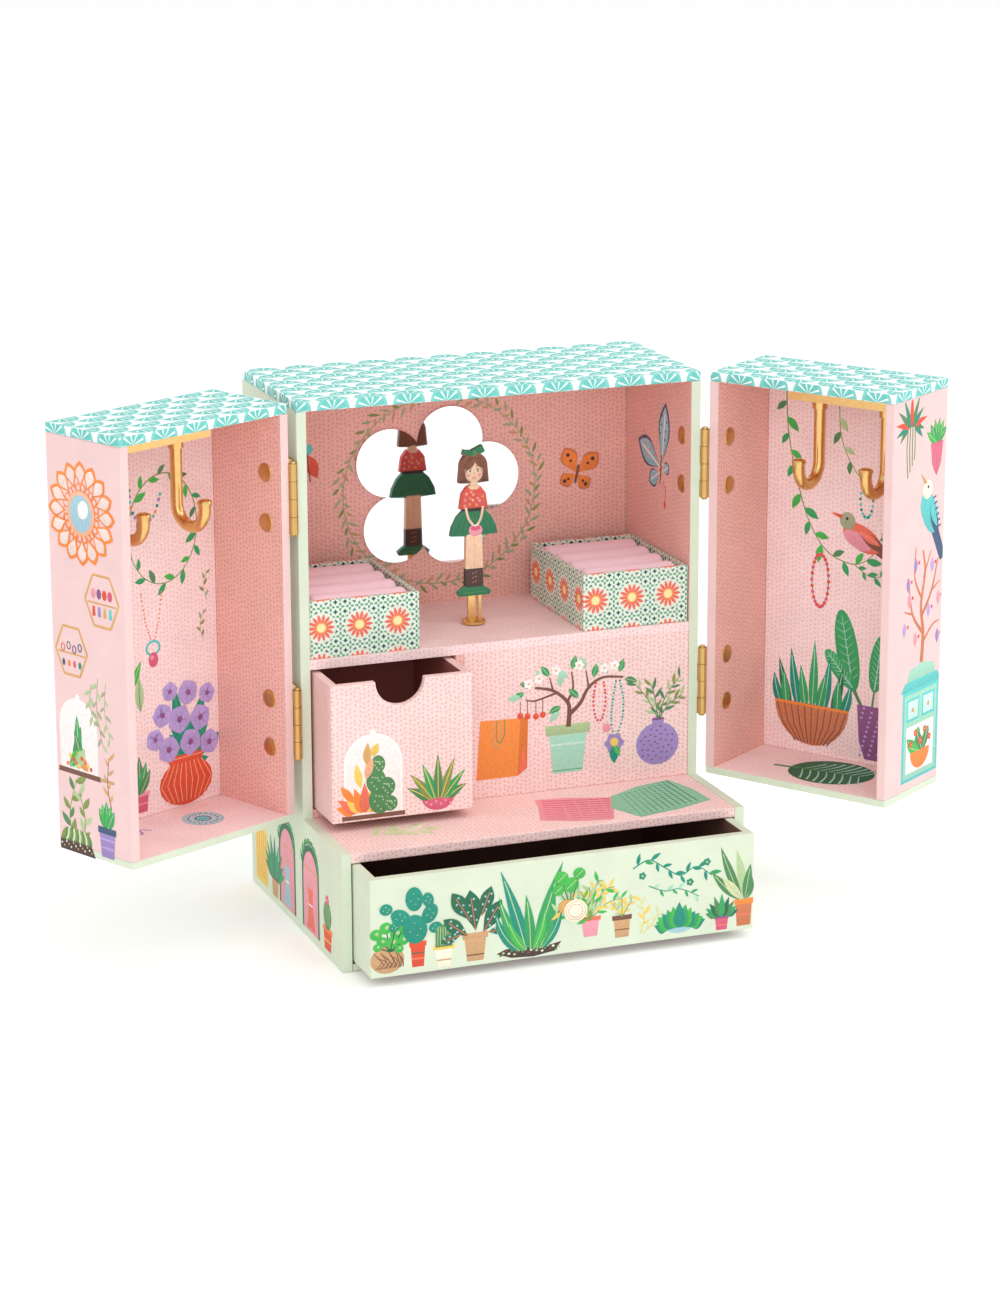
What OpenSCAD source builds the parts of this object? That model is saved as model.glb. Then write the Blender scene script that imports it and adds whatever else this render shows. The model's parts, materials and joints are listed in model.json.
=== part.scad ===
// Musical jewellery cupboard: a board carcass on a deeper drawer base, two deep
// box doors on butt hinges, a turning figure on a stage and its movement below.
// Millimetres, +Z up. The origin is on the floor at the middle of the width, in
// the plane where the doors meet the upper cupboard. The doors and drawers stand
// partly open, and their angles and pulls are the sizes in "Rest pose".

/* [Carcass] */
// Width over the side boards
body_w = 150; // [130:1:180]
// Height to the top of the roof board
body_h = 191.3; // [180:0.1:220]
// Depth of the upper cupboard, front edge to back face
cupboard_d = 63; // [58:1:75]
// How far the base stands forward of the upper cupboard
base_step = 42; // [41:1:50]
// Height of the base, to the top of its platform
base_h = 42.5; // [38:0.5:48]
// Thickness of the covered board
board = 3.5; // [3:0.1:4]
// Height of the stage above the floor
stage_h = 100; // [98:1:104]

/* [Doors] */
// Depth of each box door
door_d = 38; // [36:1:39]
// Gap between the two closed doors
door_gap = 1; // [0.6:0.1:2]
// Gap under and behind a closed door
door_clear = 0.8; // [0.5:0.1:1.5]
// Thickness of the boards of the doors' floors
door_floor_t = 2.6; // [2:0.1:3]

/* [Hinges] */
// Length of each butt hinge
hinge_len = 25; // [20:1:30]
// Radius of the hinge knuckles
knuckle_r = 1.6; // [1.4:0.1:2]
// Radius of the hinge pins
hinge_pin_r = 0.8; // [0.6:0.1:1]
// Height of the lower hinges' centres
lower_hinge_z = 77.7; // [70:0.1:90]
// Height of the upper hinges' centres
upper_hinge_z = 158; // [140:0.1:165]

/* [Drawers] */
// Length of the upper drawer, front to back
upper_drawer_d = 55; // [45:1:56]
// Length of the lower drawer, front to back
lower_drawer_d = 96; // [80:1:100]
// Radius of the finger notch in the upper drawer's front
notch_r = 9; // [7:0.5:11]
// Thickness of the drawer boards
drawer_t = 3; // [2.5:0.1:3.5]

/* [Stage] */
// Width of each ring tray
tray_w = 40.3; // [36:0.1:46]
// Depth of each ring tray, front to back
tray_d = 52; // [46:0.5:56]
// Height of each ring tray
tray_h = 20.8; // [16:0.1:26]
// Wall of the ring trays
tray_t = 1.6; // [1.2:0.1:2.5]
// Rolls in each ring tray
rolls = 4; // [3:1:5]
// Radius of the mirror's five lobes
lobe_r = 12.6; // [11.5:0.1:13.5]
// Height of the figure's card
figure_h = 54; // [50:1:56]

/* [Rest pose] */
// Angle that the left door stands open
left_open = 154.5; // [0:0.5:180]
// Angle that the right door stands open
right_open = 124; // [0:0.5:180]
// How far the upper drawer is pulled out
upper_pull = 19; // [0:1:30]
// How far the lower drawer is pulled out
lower_pull = 18; // [0:1:60]

/* [Hidden] */
$fn = 48;
half_w = body_w / 2;
in_w = half_w - board;                 // half the clear width inside
roof_z = body_h - board;
back_y = cupboard_d - board;           // inner face of the back panel
front_y = -base_step;                  // front of the base
stage_z = stage_h - board;             // underside of the stage
platform_z = base_h - board;
door_w = half_w - door_gap / 2;
door_z = base_h + door_clear / 2;      // underside of a closed door
pin_out = knuckle_r + 0.05;            // pin axis beyond the side board's face
hinge_z = [lower_hinge_z, upper_hinge_z];
leaf_t = 0.7;
leaf_w = 11;
rivet_inset = 8;
rivet_pitch = 17.6;
rivet_bore = 1.05;
strap_reach = 1.15;                    // how far a knuckle's strap lies on its leaf
split_x = -17.8;                       // left face of the divider
divider_t = 3;
runner_t = 3;
drawer_x = [-70.4, -18.6];             // sides of the upper drawer
drawer_z = base_h + runner_t + 0.4;
drawer_top = stage_z - 1.1;
notch_x = (drawer_x[0] + drawer_x[1]) / 2 - 0.6;
lower_w = 2 * in_w - 1.2;
lower_z = 3.4;
lower_top = platform_z - 0.4;
axis_x = -1.5;                         // figure and movement share this axis
axis_y = 26;
drum_z = 60;
mirror_c = [-3.2, 143.5];
lobe_at = [[4.9, 16.9], [18.9, 2.7], [5.9, -16.4], [-15.9, -14.4], [-18.4, 10.2]];
hook_u = [34, 61];                     // places of the hooks across a door
hook_v = 19;
hook_r = 7;
rod_r = 2.1;
wheel_teeth = 40;
pinion_teeth = 8;
gear_m = 0.5;
gear_t = 1.8;
bed_top = base_h + 2.5;                // top of the movement's bed
bed_hole_x = [12, 36];
bed_hole_y = [10, 50];
comb_x = [20, 33];                     // seat of the comb
comb_y = [12, 34.5];
comb_hole_y = [17, 29.5];
comb_hole_x = 28;
drum_r = 6.5;
neck_r = 4;                            // bore of the star wheel
star_r = 9;
star_y = [16.5, 19.5];
star_teeth = 16;
peg_ring = 8.4;                        // circle of the crown wheel's pegs
peg_r = 0.5;
peg_z = drum_z + 8;                    // lower ends of the pegs
crown_z = 71.5;
barrel_r = 11;
barrel_y = [35.9, 51.5];
arbor_r = 2;
arbor_end = cupboard_d + 5;
gov_c = (wheel_teeth + pinion_teeth) * gear_m / 2;
key_y = cupboard_d + 10.5;
gov_x = axis_x - gov_c * cos(45);
gov_z = drum_z - gov_c * sin(45);

pink = "#ecc2ba";
pale_pink = "#f4dbe0";
mint = "#dfeadb";
teal = "#9ad8d0";
gold = "#d8a85c";
steel = "#b9bdc2";
dark_wood = "#4a2a26";

// ---- helpers -------------------------------------------------------------

// A box from its low corner to its high corner
module span(a, b) {
  translate(a) cube([b[0] - a[0], b[1] - a[1], b[2] - a[2]]);
}

// Places a closed door's children at the angle the door stands open.
// side is -1 for the left door and 1 for the right one.
module swing(side, open) {
  px = side * (half_w + pin_out);
  py = -door_clear / 2;
  translate([px, py, 0]) rotate([0, 0, side * open]) translate([-px, -py, 0]) children();
}

// A box in the left door's own terms: u across from the hinge edge, v forward
// from the open side, z up
module door_box(u, v, z) {
  span([-half_w + u[0], -door_clear - v[1], z[0]], [-half_w + u[1], -door_clear - v[0], z[1]]);
}

module left_door() { swing(-1, left_open) children(); }
module right_door() { swing(1, right_open) mirror([1, 0, 0]) children(); }

// ---- carcass -------------------------------------------------------------

// L-shaped board: the wall of the cupboard and of the base in one
module side_board(side) {
  color(mint) difference() {
    translate([side < 0 ? -half_w : in_w, 0, 0]) rotate([90, 0, 90])
      linear_extrude(board) polygon([
        [front_y, 0], [cupboard_d, 0], [cupboard_d, roof_z], [0, roof_z],
        [0, base_h], [front_y, base_h]
      ]);
    for (z = hinge_z, s = [-1, 1])
      translate([side * half_w, rivet_inset, z + s * rivet_pitch / 2])
        rotate([0, 90, 0]) cylinder(r = rivet_bore, h = 3 * board, center = true);
  }
}

module back_panel() {
  color(pink) difference() {
    span([-in_w, back_y, 0], [in_w, cupboard_d, roof_z]);
    translate([axis_x, back_y, drum_z]) rotate([-90, 0, 0])
      cylinder(r = 3, h = 4 * board, center = true);
  }
}

module roof_board() { color(teal) span([-half_w, 0, roof_z], [half_w, cupboard_d, body_h]); }

module stage_board() {
  color(pink) difference() {
    span([-in_w, 0, stage_z], [in_w, back_y, stage_h]);
    translate([axis_x, axis_y, stage_z]) cylinder(r = 2.2, h = 4 * board, center = true);
  }
}

module divider_board() {
  color(pink) span([split_x, 0, base_h], [split_x + divider_t, back_y, stage_z]);
}

module music_panel() {
  color(pink) span([split_x + divider_t, 0, base_h], [in_w, drawer_t, stage_z]);
}

module platform_board() { color(pale_pink) span([-in_w, front_y, platform_z], [in_w, back_y, base_h]); }

module base_floor() { color(mint) span([-in_w, front_y, 0], [in_w, back_y, 3]); }

// Floor of the upper drawer's space, which lifts it over the doors' floors
module drawer_runner() { color(pink) span([-in_w, 0.2, base_h], [split_x, back_y, base_h + runner_t]); }

// ---- hinges --------------------------------------------------------------

// Leaf with every other knuckle, at the left side board; part 0 is the
// cupboard's leaf and part 1 is the door's
module leaf(part) {
  knuckle = hinge_len / 4;
  y0 = part == 0 ? 0.35 : -door_clear - leaf_w;
  y1 = part == 0 ? leaf_w : -door_clear - 0.35;
  rivet_y = part == 0 ? rivet_inset : -door_clear - rivet_inset;
  pin_y = -door_clear / 2;
  strap_y = part == 0 ? [pin_y, y0 + strap_reach] : [y1 - strap_reach, pin_y];
  color(gold) for (zc = hinge_z) difference() {
    union() {
      span([-half_w - leaf_t, y0, zc - hinge_len / 2], [-half_w, y1, zc + hinge_len / 2]);
      for (k = [part:2:3]) {
        z0 = zc - hinge_len / 2 + k * knuckle + 0.08;
        translate([-half_w - pin_out, pin_y, z0]) cylinder(r = knuckle_r, h = knuckle - 0.16);
        span([-half_w - leaf_t - 0.35, strap_y[0], z0],
             [-half_w - 0.05, strap_y[1], z0 + knuckle - 0.16]);
      }
    }
    translate([-half_w - pin_out, pin_y, zc])
      cylinder(r = hinge_pin_r + 0.06, h = 2 * hinge_len, center = true);
    for (k = [1 - part:2:3]) {
      z0 = zc - hinge_len / 2 + k * knuckle - 0.08;
      span([-half_w - 4, -2.4 + pin_y, z0], [-half_w + 0.1, 2.4 + pin_y, z0 + knuckle + 0.16]);
    }
    for (s = [-1, 1]) translate([-half_w, rivet_y, zc + s * rivet_pitch / 2])
      rotate([0, 90, 0]) cylinder(r = rivet_bore, h = 3 * board, center = true);
  }
}

module hinge_pin() {
  top = hinge_len / 2 + 0.05;
  rotate_extrude() polygon([
    [0, -top - 0.8], [0.9, -top - 0.6], [1.3, -top], [hinge_pin_r, -top],
    [hinge_pin_r, top], [1.3, top], [0.9, top + 0.6], [0, top + 0.8]
  ]);
}

module hinge_pins() {
  color(gold) for (s = [-1, 1], z = hinge_z)
    translate([s * (half_w + pin_out), -door_clear / 2, z]) hinge_pin();
}

// Rivet through the leaf and the left wall, with a wide domed head inside
module rivet() {
  rotate([0, 90, 0]) rotate_extrude() polygon([
    [0, -leaf_t - 0.7], [1.3, -leaf_t - 0.5], [1.9, -leaf_t], [1, -leaf_t], [1, board],
    [3.3, board], [3, board + 0.35], [1.9, board + 0.7], [0, board + 0.8]
  ]);
}

module rivets(y) {
  color(gold) for (z = hinge_z, s = [-1, 1])
    translate([-half_w, y, z + s * rivet_pitch / 2]) rivet();
}

module cabinet_rivets() {
  rivets(rivet_inset);
  mirror([1, 0, 0]) rivets(rivet_inset);
}

module cabinet_leaves() {
  leaf(0);
  mirror([1, 0, 0]) leaf(0);
}

// ---- doors: drawn as the left door, closed --------------------------------

module door_panel() {
  color(pink) door_box([board, door_w - board], [door_d - board, door_d],
    [door_z + door_floor_t, roof_z]);
}

module door_hinge_wall() {
  color(pink) difference() {
    door_box([0, board], [0, door_d], [door_z + door_floor_t, roof_z]);
    for (z = hinge_z, s = [-1, 1])
      translate([-half_w, -door_clear - rivet_inset, z + s * rivet_pitch / 2])
        rotate([0, 90, 0]) cylinder(r = rivet_bore, h = 3 * board, center = true);
  }
}

module door_meeting_wall() {
  color(pale_pink) door_box([door_w - board, door_w], [0, door_d],
    [door_z + door_floor_t, roof_z]);
}

module door_roof() { color(teal) door_box([0, door_w], [0, door_d], [roof_z, body_h]); }
module door_floor() { color(mint) door_box([0, door_w], [0, door_d], [door_z, door_z + door_floor_t]); }

// Brass rail under the door's roof that the hooks hang from
module hook_rail() {
  color(gold) difference() {
    door_box([hook_u[0] - 7.5, hook_u[1] + 7.5], [9.5, hook_v + 4.5], [roof_z - 5, roof_z]);
    for (u = hook_u) translate([-half_w + u, -door_clear - hook_v, roof_z - 5])
      cylinder(r = 1.5, h = 6, center = true);
  }
}

// J hook: collar, stem, half-round bend towards the open side, flared tip
module hook() {
  top = roof_z - 5;
  bend_z = 152.6 + hook_r;
  rotate_extrude() polygon([
    [0, bend_z], [rod_r, bend_z], [rod_r, top - 4.2], [rod_r + 0.6, top - 4],
    [rod_r + 0.6, top], [1.4, top], [1.4, top + 2.8], [0, top + 2.8]
  ]);
  translate([0, hook_r, bend_z]) rotate([0, -90, 0]) rotate([0, 0, 90])
    rotate_extrude(angle = 180) translate([hook_r, 0]) circle(r = rod_r);
  translate([0, 2 * hook_r, bend_z]) rotate_extrude() polygon([
    [0, 0], [rod_r, 0], [rod_r, 0.6], [rod_r + 0.5, 2.4], [rod_r + 0.2, 3], [1.2, 3.5], [0, 3.6]
  ]);
}

module hooks() {
  color(gold) for (u = hook_u) translate([-half_w + u, -door_clear - hook_v, 0]) hook();
}

// ---- drawers --------------------------------------------------------------

module upper_front() {
  y = -upper_pull;
  color(pink) difference() {
    span([drawer_x[0], y, drawer_z], [drawer_x[1], y + drawer_t, drawer_top]);
    translate([notch_x, y, drawer_top]) rotate([90, 0, 0])
      cylinder(r = notch_r, h = 4 * drawer_t, center = true);
  }
}

module upper_sides() {
  y = -upper_pull;
  color(pale_pink) for (x = [drawer_x[0], drawer_x[1] - drawer_t])
    span([x, y + drawer_t, drawer_z], [x + drawer_t, y + upper_drawer_d, drawer_top]);
}

module upper_back() {
  y = upper_drawer_d - upper_pull;
  color(dark_wood) span([drawer_x[0] + drawer_t, y - drawer_t, drawer_z + 2],
    [drawer_x[1] - drawer_t, y, drawer_top]);
}

module upper_floor() {
  y = -upper_pull;
  color(dark_wood) span([drawer_x[0] + drawer_t, y + drawer_t, drawer_z],
    [drawer_x[1] - drawer_t, y + upper_drawer_d, drawer_z + 2]);
}

module lower_front() {
  y = front_y - lower_pull;
  color(mint) span([-lower_w / 2, y, lower_z], [lower_w / 2, y + board, lower_top]);
}

module lower_sides() {
  y = front_y - lower_pull;
  color(mint) for (x = [-lower_w / 2, lower_w / 2 - drawer_t])
    span([x, y + board, lower_z], [x + drawer_t, y + lower_drawer_d, lower_top]);
}

module lower_back() {
  y = front_y - lower_pull + lower_drawer_d;
  color(dark_wood) span([-lower_w / 2 + drawer_t, y - drawer_t, lower_z + 2],
    [lower_w / 2 - drawer_t, y, lower_top]);
}

module lower_floor() {
  y = front_y - lower_pull;
  color(dark_wood) span([-lower_w / 2 + drawer_t, y + board, lower_z],
    [lower_w / 2 - drawer_t, y + lower_drawer_d, lower_z + 2]);
}

// ---- stage ----------------------------------------------------------------

// Open tray against the left wall; the right one is its mirror image
module ring_tray() {
  x = -in_w + 0.3;
  color("#7fb59c") difference() {
    span([x, 0.8, stage_h], [x + tray_w, 0.8 + tray_d, stage_h + tray_h]);
    span([x + tray_t, 0.8 + tray_t, stage_h + tray_t],
         [x + tray_w - tray_t, 0.8 + tray_d - tray_t, stage_h + tray_h + 1]);
  }
}

// Foam rolls that lie side by side across the tray
module ring_rolls() {
  x = -in_w + 0.3 + tray_t + 0.3;
  len = tray_w - 2 * tray_t - 0.6;
  pitch = (tray_d - 2 * tray_t - 0.6) / rolls;
  roll_h = tray_h - tray_t - 5.8;
  color("#f0a9b8") for (k = [0:rolls - 1])
    translate([x, 0.8 + tray_t + 0.3 + (k + 0.5) * pitch, stage_h + tray_t + 0.3])
      rotate([90, 0, 90]) linear_extrude(len) intersection() {
        translate([0, roll_h]) circle(r = pitch / 2 * 1.01);
        translate([-pitch / 2 + 0.1, 0]) square([pitch - 0.2, 20]);
      }
  color("#f0a9b8") for (k = [0:rolls - 1])
    translate([x, 0.8 + tray_t + 0.3 + k * pitch + 0.1, stage_h + tray_t + 0.3])
      cube([len, pitch - 0.2, roll_h]);
}

// Flower-shaped mirror: five lobes round a middle disc
module mirror_plate() {
  color("#e8f4f6") translate([mirror_c[0], back_y, mirror_c[1]]) rotate([90, 0, 0])
    linear_extrude(1) union() {
      circle(r = lobe_r);
      for (c = lobe_at) hull() {
        translate(c) circle(r = lobe_r);
        translate(c / 3) circle(r = lobe_r / 2);
      }
    }
}

// Flat card figure: half widths at rising heights, mirrored into one outline,
// with a round head and a bow
module figure_card() {
  half = [
    [5.8, -0.6], [6.4, 0.8], [3.4, 3], [3, 21.4], [8.9, 21.8], [8.3, 24.8], [6.3, 28.6], [3.9, 30.9],
    [5.3, 31.4], [4.5, 36.8], [2.6, 39.3], [1.4, 39.8], [1.4, 40.5], [5.7, 40.9], [5.2, 46.6]
  ];
  n = len(half);
  color("#b6483f") translate([axis_x, axis_y + 1.1, stage_h + 11.2]) rotate([90, 0, 0])
    linear_extrude(2.2) scale(figure_h / 54) union() {
      polygon(concat(half, [for (k = [n - 1:-1:0]) [-half[k][0], half[k][1]]]));
      translate([0, 46.6]) circle(r = 5.2);
      translate([1.4, 52]) rotate(24) square([5.2, 2.6], center = true);
      translate([-1.8, 51.4]) rotate(-14) square([4.4, 2], center = true);
    }
}

// Spindle through the stage with two prongs that hold the card
module figure_stand() {
  color(gold) {
    translate([axis_x, axis_y, 0]) rotate_extrude() polygon([
      [0, 74], [1.5, 74], [1.5, stage_h + 0.4], [4.2, stage_h + 0.4], [4.2, stage_h + 1.4],
      [3.4, stage_h + 1.8], [0, stage_h + 1.8]
    ]);
    for (p = [[-2.2, 0.5], [1.7, 2.8]]) span(
      [axis_x + p[0], axis_y - 0.5, stage_h + 1.6],
      [axis_x + p[1], axis_y + 0.5, stage_h + 10.6]);
  }
}

// ---- movement -------------------------------------------------------------

// Involute gear outline, tooth 0 along +X
function inv(r, rb) = r <= rb ? 0 : sqrt(pow(r / rb, 2) - 1) * 180 / PI - acos(rb / r);
function flank(n, rp, rb, rr, ra, k, s) = [
  for (i = [0:5]) let (
    j = s < 0 ? i : 5 - i,
    r = j == 0 ? rr : max(rb, rr) + (ra - max(rb, rr)) * (j - 1) / 4,
    a = 360 * k / n + s * (79 / n + inv(rp, rb) - inv(r, rb))
  ) [r * cos(a), r * sin(a)]
];
module gear(n, m) {
  rp = n * m / 2;
  rb = rp * cos(20);
  rr = rp - 1.2 * m;
  ra = rp + 0.7 * m;
  polygon([for (k = [0:n - 1]) each concat(
    flank(n, rp, rb, rr, ra, k, -1), flank(n, rp, rb, rr, ra, k, 1))]);
}

// Cylinder from y0 to y1 round the movement's axis
module along(y0, y1, r, x = axis_x, z = drum_z) {
  translate([x, y0, z]) rotate([-90, 0, 0]) cylinder(r = r, h = y1 - y0);
}

// Cast bed with its bearing plates, comb seat and governor post
module movement_frame() {
  color(steel) difference() {
    union() {
      span([-14, 5.6, base_h], [40, 55, bed_top]);
      span([-13.6, 6, bed_top], [4, 8, drum_z + 4]);
      span([-6, 53, bed_top], [3, 55, drum_z + 5]);
      span([-12.6, 31, bed_top], [-7.4, 32.6, gov_z + 2]);
      span([comb_x[0], comb_y[0], bed_top], [comb_x[1], comb_y[1], drum_z - 0.6]);
    }
    along(0, 20, 1.56);
    along(50, 60, arbor_r + 0.06);
    along(0, 40, 0.66, gov_x, gov_z);
    for (x = bed_hole_x, y = bed_hole_y)
      translate([x, y, base_h]) cylinder(r = 1.3, h = 20, center = true);
    for (y = comb_hole_y) translate([comb_hole_x, y, drum_z - 8]) cylinder(r = 0.9, h = 30);
  }
}

module movement_screws() {
  color(steel) for (x = bed_hole_x, y = bed_hole_y)
    translate([x, y, bed_top]) rotate_extrude() polygon([
      [0, -2.5], [1.2, -2.5], [1.2, 0], [2.4, 0], [2.2, 1.2], [0, 1.4]
    ]);
}

// Brass cylinder with rings of tiny pins
module pinned_cylinder() {
  color(gold) union() {
    along(6.1, 9.4, 1.5);
    along(9.2, 16.2, drum_r);
    along(16, 20, neck_r - 0.02);
    along(19.8, barrel_y[0], drum_r);
    for (y = [22.1:3.2:34], k = [0:3])
      translate([axis_x, y, drum_z]) rotate([0, k * 90 + y * 47, 0])
        translate([drum_r - 0.2, -0.2, -0.2]) cube([0.75, 0.4, 0.4]);
    translate([axis_x, 11, drum_z]) rotate([90, 0, 0]) linear_extrude(gear_t)
      gear(wheel_teeth, gear_m);
  }
}

// Toothed collar that meets the crown wheel's pegs from below
module star_wheel() {
  color(gold) {
    difference() {
      along(16.2, 19.8, 6.2);
      along(16, 20, neck_r);
    }
    translate([axis_x, star_y[1], drum_z]) rotate([90, 0, 0])
      linear_extrude(star_y[1] - star_y[0]) for (k = [0:star_teeth - 1])
        rotate(90 + k * 360 / star_teeth) translate([5.8, -0.5]) square([star_r - 5.8, 1]);
  }
}

// Disc on the spindle whose pegs run between the star wheel's teeth
module crown_wheel() {
  color(gold) {
    translate([axis_x, axis_y, crown_z]) cylinder(r = peg_ring + 1, h = 2.5);
    for (k = [0:star_teeth - 1]) translate([axis_x, axis_y, peg_z])
      rotate((k + 0.5) * 360 / star_teeth) translate([peg_ring, 0, 0])
        cylinder(r = peg_r, h = crown_z - peg_z + 0.1);
  }
}

// Drum that holds the mainspring, open at the back to the arbor
module spring_barrel() {
  color(gold) difference() {
    along(barrel_y[0], barrel_y[1], barrel_r);
    along(barrel_y[0] + 1.5, barrel_y[1] - 1.3, barrel_r - 1);
    along(50, 52, 4);
  }
}

// Flat spiral strip between the arbor and the barrel's wall
module mainspring() {
  turns = 4.5;
  steps = 54;
  r0 = 2.9;
  r1 = 9.6;
  function at(t, d) = let (a = 360 * turns * t, r = r0 + (r1 - r0) * t + d) [r * cos(a), r * sin(a)];
  color(steel) translate([axis_x, 49.6, drum_z]) rotate([90, 0, 0]) linear_extrude(11.6)
    polygon(concat([for (i = [0:steps]) at(i / steps, 0)], [for (i = [steps:-1:0]) at(i / steps, 0.35)]));
}

// Steel comb: a plate with a row of tuned teeth that reach the pins
module comb() {
  color(steel) difference() {
    union() {
      span([axis_x + drum_r + 0.75, 20, drum_z - 0.6], [comb_x[1], comb_y[1], drum_z + 0.6]);
      span([comb_x[0] - 1, comb_y[0], drum_z - 0.6], [comb_x[1], 20, drum_z + 0.6]);
    }
    for (y = [21.3:1.6:33.5]) span([0, y, drum_z - 1], [comb_x[0] - 1, y + 0.5, drum_z + 1]);
    for (y = comb_hole_y)
      translate([comb_hole_x, y, drum_z]) cylinder(r = 0.9, h = 10, center = true);
  }
}

module comb_screws() {
  color(steel) for (y = comb_hole_y)
    translate([comb_hole_x, y, drum_z]) rotate_extrude() polygon([
      [0, -6], [0.8, -6], [0.8, 0.6], [2, 0.6], [1.8, 1.6], [0, 1.8]
    ]);
}

// Pinion, shaft and two air vanes that hold the speed down
module governor_fan() {
  color(steel) {
    translate([gov_x, 11, gov_z]) rotate([90, 45 + 180 / pinion_teeth, 0])
      linear_extrude(gear_t) gear(pinion_teeth, gear_m);
    along(6.2, 32.2, 0.6, gov_x, gov_z);
    span([gov_x - 3.8, 20.8, gov_z - 0.3], [gov_x + 3.8, 30, gov_z + 0.3]);
  }
}

// Arbor from the mainspring out through the back panel
module winding_arbor() {
  color(steel) {
    along(38, arbor_end - 0.01, arbor_r);
    along(51.6, 52.8, 3.4);
  }
}

// Flat butterfly key on the arbor's end
module winding_key() {
  color(gold) difference() {
    union() {
      along(cupboard_d + 1.2, key_y - 4, 3.2);
      translate([axis_x, key_y, drum_z]) for (s = [-1, 1]) hull() {
        translate([0, -3.5, 0]) cube([3, 3, 1.8], center = true);
        translate([s * 6.5, 0, -0.9]) cylinder(r = 4.5, h = 1.8, $fn = 32);
      }
    }
    along(60, arbor_end - 0.01, arbor_r);
    for (s = [-1, 1]) translate([axis_x + s * 7, key_y, drum_z]) cylinder(r = 1.8, h = 6, center = true);
  }
}

side_board(-1);  // left_side_board
side_board(1);  // right_side_board
back_panel();
roof_board();
stage_board();
divider_board();
music_panel();
platform_board();
base_floor();
drawer_runner();
cabinet_leaves();  // cabinet_hinge_leaves
hinge_pins();
cabinet_rivets();  // cabinet_hinge_rivets
left_door() door_panel();  // left_door_panel
left_door() door_hinge_wall();  // left_door_hinge_wall
left_door() door_meeting_wall();  // left_door_meeting_wall
left_door() door_roof();  // left_door_roof
left_door() door_floor();  // left_door_floor
left_door() leaf(1);  // left_door_hinge_leaves
left_door() rivets(-door_clear - rivet_inset);  // left_door_rivets
left_door() hook_rail();  // left_hook_rail
left_door() hooks();  // left_hooks
right_door() door_panel();  // right_door_panel
right_door() door_hinge_wall();  // right_door_hinge_wall
right_door() door_meeting_wall();  // right_door_meeting_wall
right_door() door_roof();  // right_door_roof
right_door() door_floor();  // right_door_floor
right_door() leaf(1);  // right_door_hinge_leaves
right_door() rivets(-door_clear - rivet_inset);  // right_door_rivets
right_door() hook_rail();  // right_hook_rail
right_door() hooks();  // right_hooks
upper_front();  // upper_drawer_front
upper_sides();  // upper_drawer_sides
upper_back();  // upper_drawer_back
upper_floor();  // upper_drawer_floor
lower_front();  // lower_drawer_front
lower_sides();  // lower_drawer_sides
lower_back();  // lower_drawer_back
lower_floor();  // lower_drawer_floor
ring_tray();  // left_ring_tray
ring_rolls();  // left_ring_rolls
mirror([1, 0, 0]) ring_tray();  // right_ring_tray
mirror([1, 0, 0]) ring_rolls();  // right_ring_rolls
mirror_plate();  // mirror
figure_card();
figure_stand();
crown_wheel();
movement_frame();
movement_screws();
pinned_cylinder();
star_wheel();
spring_barrel();
mainspring();
comb();
comb_screws();
governor_fan();
winding_arbor();
winding_key();
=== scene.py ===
import json
import random
from math import atan2, cos, degrees, hypot, pi, radians, sin, sqrt

import bpy
from mathutils import Matrix, Vector


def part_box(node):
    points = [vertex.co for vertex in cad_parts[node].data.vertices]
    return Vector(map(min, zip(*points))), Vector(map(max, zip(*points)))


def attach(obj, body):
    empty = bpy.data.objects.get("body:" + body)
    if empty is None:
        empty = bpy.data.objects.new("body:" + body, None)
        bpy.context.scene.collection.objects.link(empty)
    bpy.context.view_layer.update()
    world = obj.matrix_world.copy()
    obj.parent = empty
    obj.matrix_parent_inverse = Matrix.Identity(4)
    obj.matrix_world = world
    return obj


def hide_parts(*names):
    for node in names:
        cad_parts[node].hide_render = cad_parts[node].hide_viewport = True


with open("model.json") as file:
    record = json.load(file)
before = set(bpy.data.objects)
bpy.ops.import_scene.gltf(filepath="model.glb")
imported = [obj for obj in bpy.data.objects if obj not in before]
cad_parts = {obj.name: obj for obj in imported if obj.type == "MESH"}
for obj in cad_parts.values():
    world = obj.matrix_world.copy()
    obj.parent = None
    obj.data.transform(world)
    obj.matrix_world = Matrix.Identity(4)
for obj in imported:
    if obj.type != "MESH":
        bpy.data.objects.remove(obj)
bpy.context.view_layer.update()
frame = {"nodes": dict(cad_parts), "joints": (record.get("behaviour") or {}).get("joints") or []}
nodes = frame["nodes"]
joints = {joint["name"]: joint for joint in frame["joints"]}
random.seed(11)
mm = 0.001
print("frame loaded:", len(nodes), "nodes")


# The shop's view of the box
viewpoint = {
    "place": (-0.4443, -1.1730, 0.4438),
    "turn": 20.694,  # degrees to the right of straight ahead
    "tilt": 15.472,  # degrees below the horizon
    "roll": -0.177,
    "lens": 102.04,
}

cameraData = bpy.data.cameras.new("shopCamera")
cameraData.lens = viewpoint["lens"]
cameraData.sensor_width = 36
cameraData.clip_end = 50
camera = bpy.data.objects.new("shopCamera", cameraData)
bpy.context.scene.collection.objects.link(camera)
camera.matrix_world = (
    Matrix.Translation(viewpoint["place"])
    @ Matrix.Rotation(radians(-viewpoint["turn"]), 4, "Z")
    @ Matrix.Rotation(radians(90 - viewpoint["tilt"]), 4, "X")
    @ Matrix.Rotation(radians(viewpoint["roll"]), 4, "Z")
)
bpy.context.scene.camera = camera
bpy.context.scene.view_settings.view_transform = "Standard"

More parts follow.
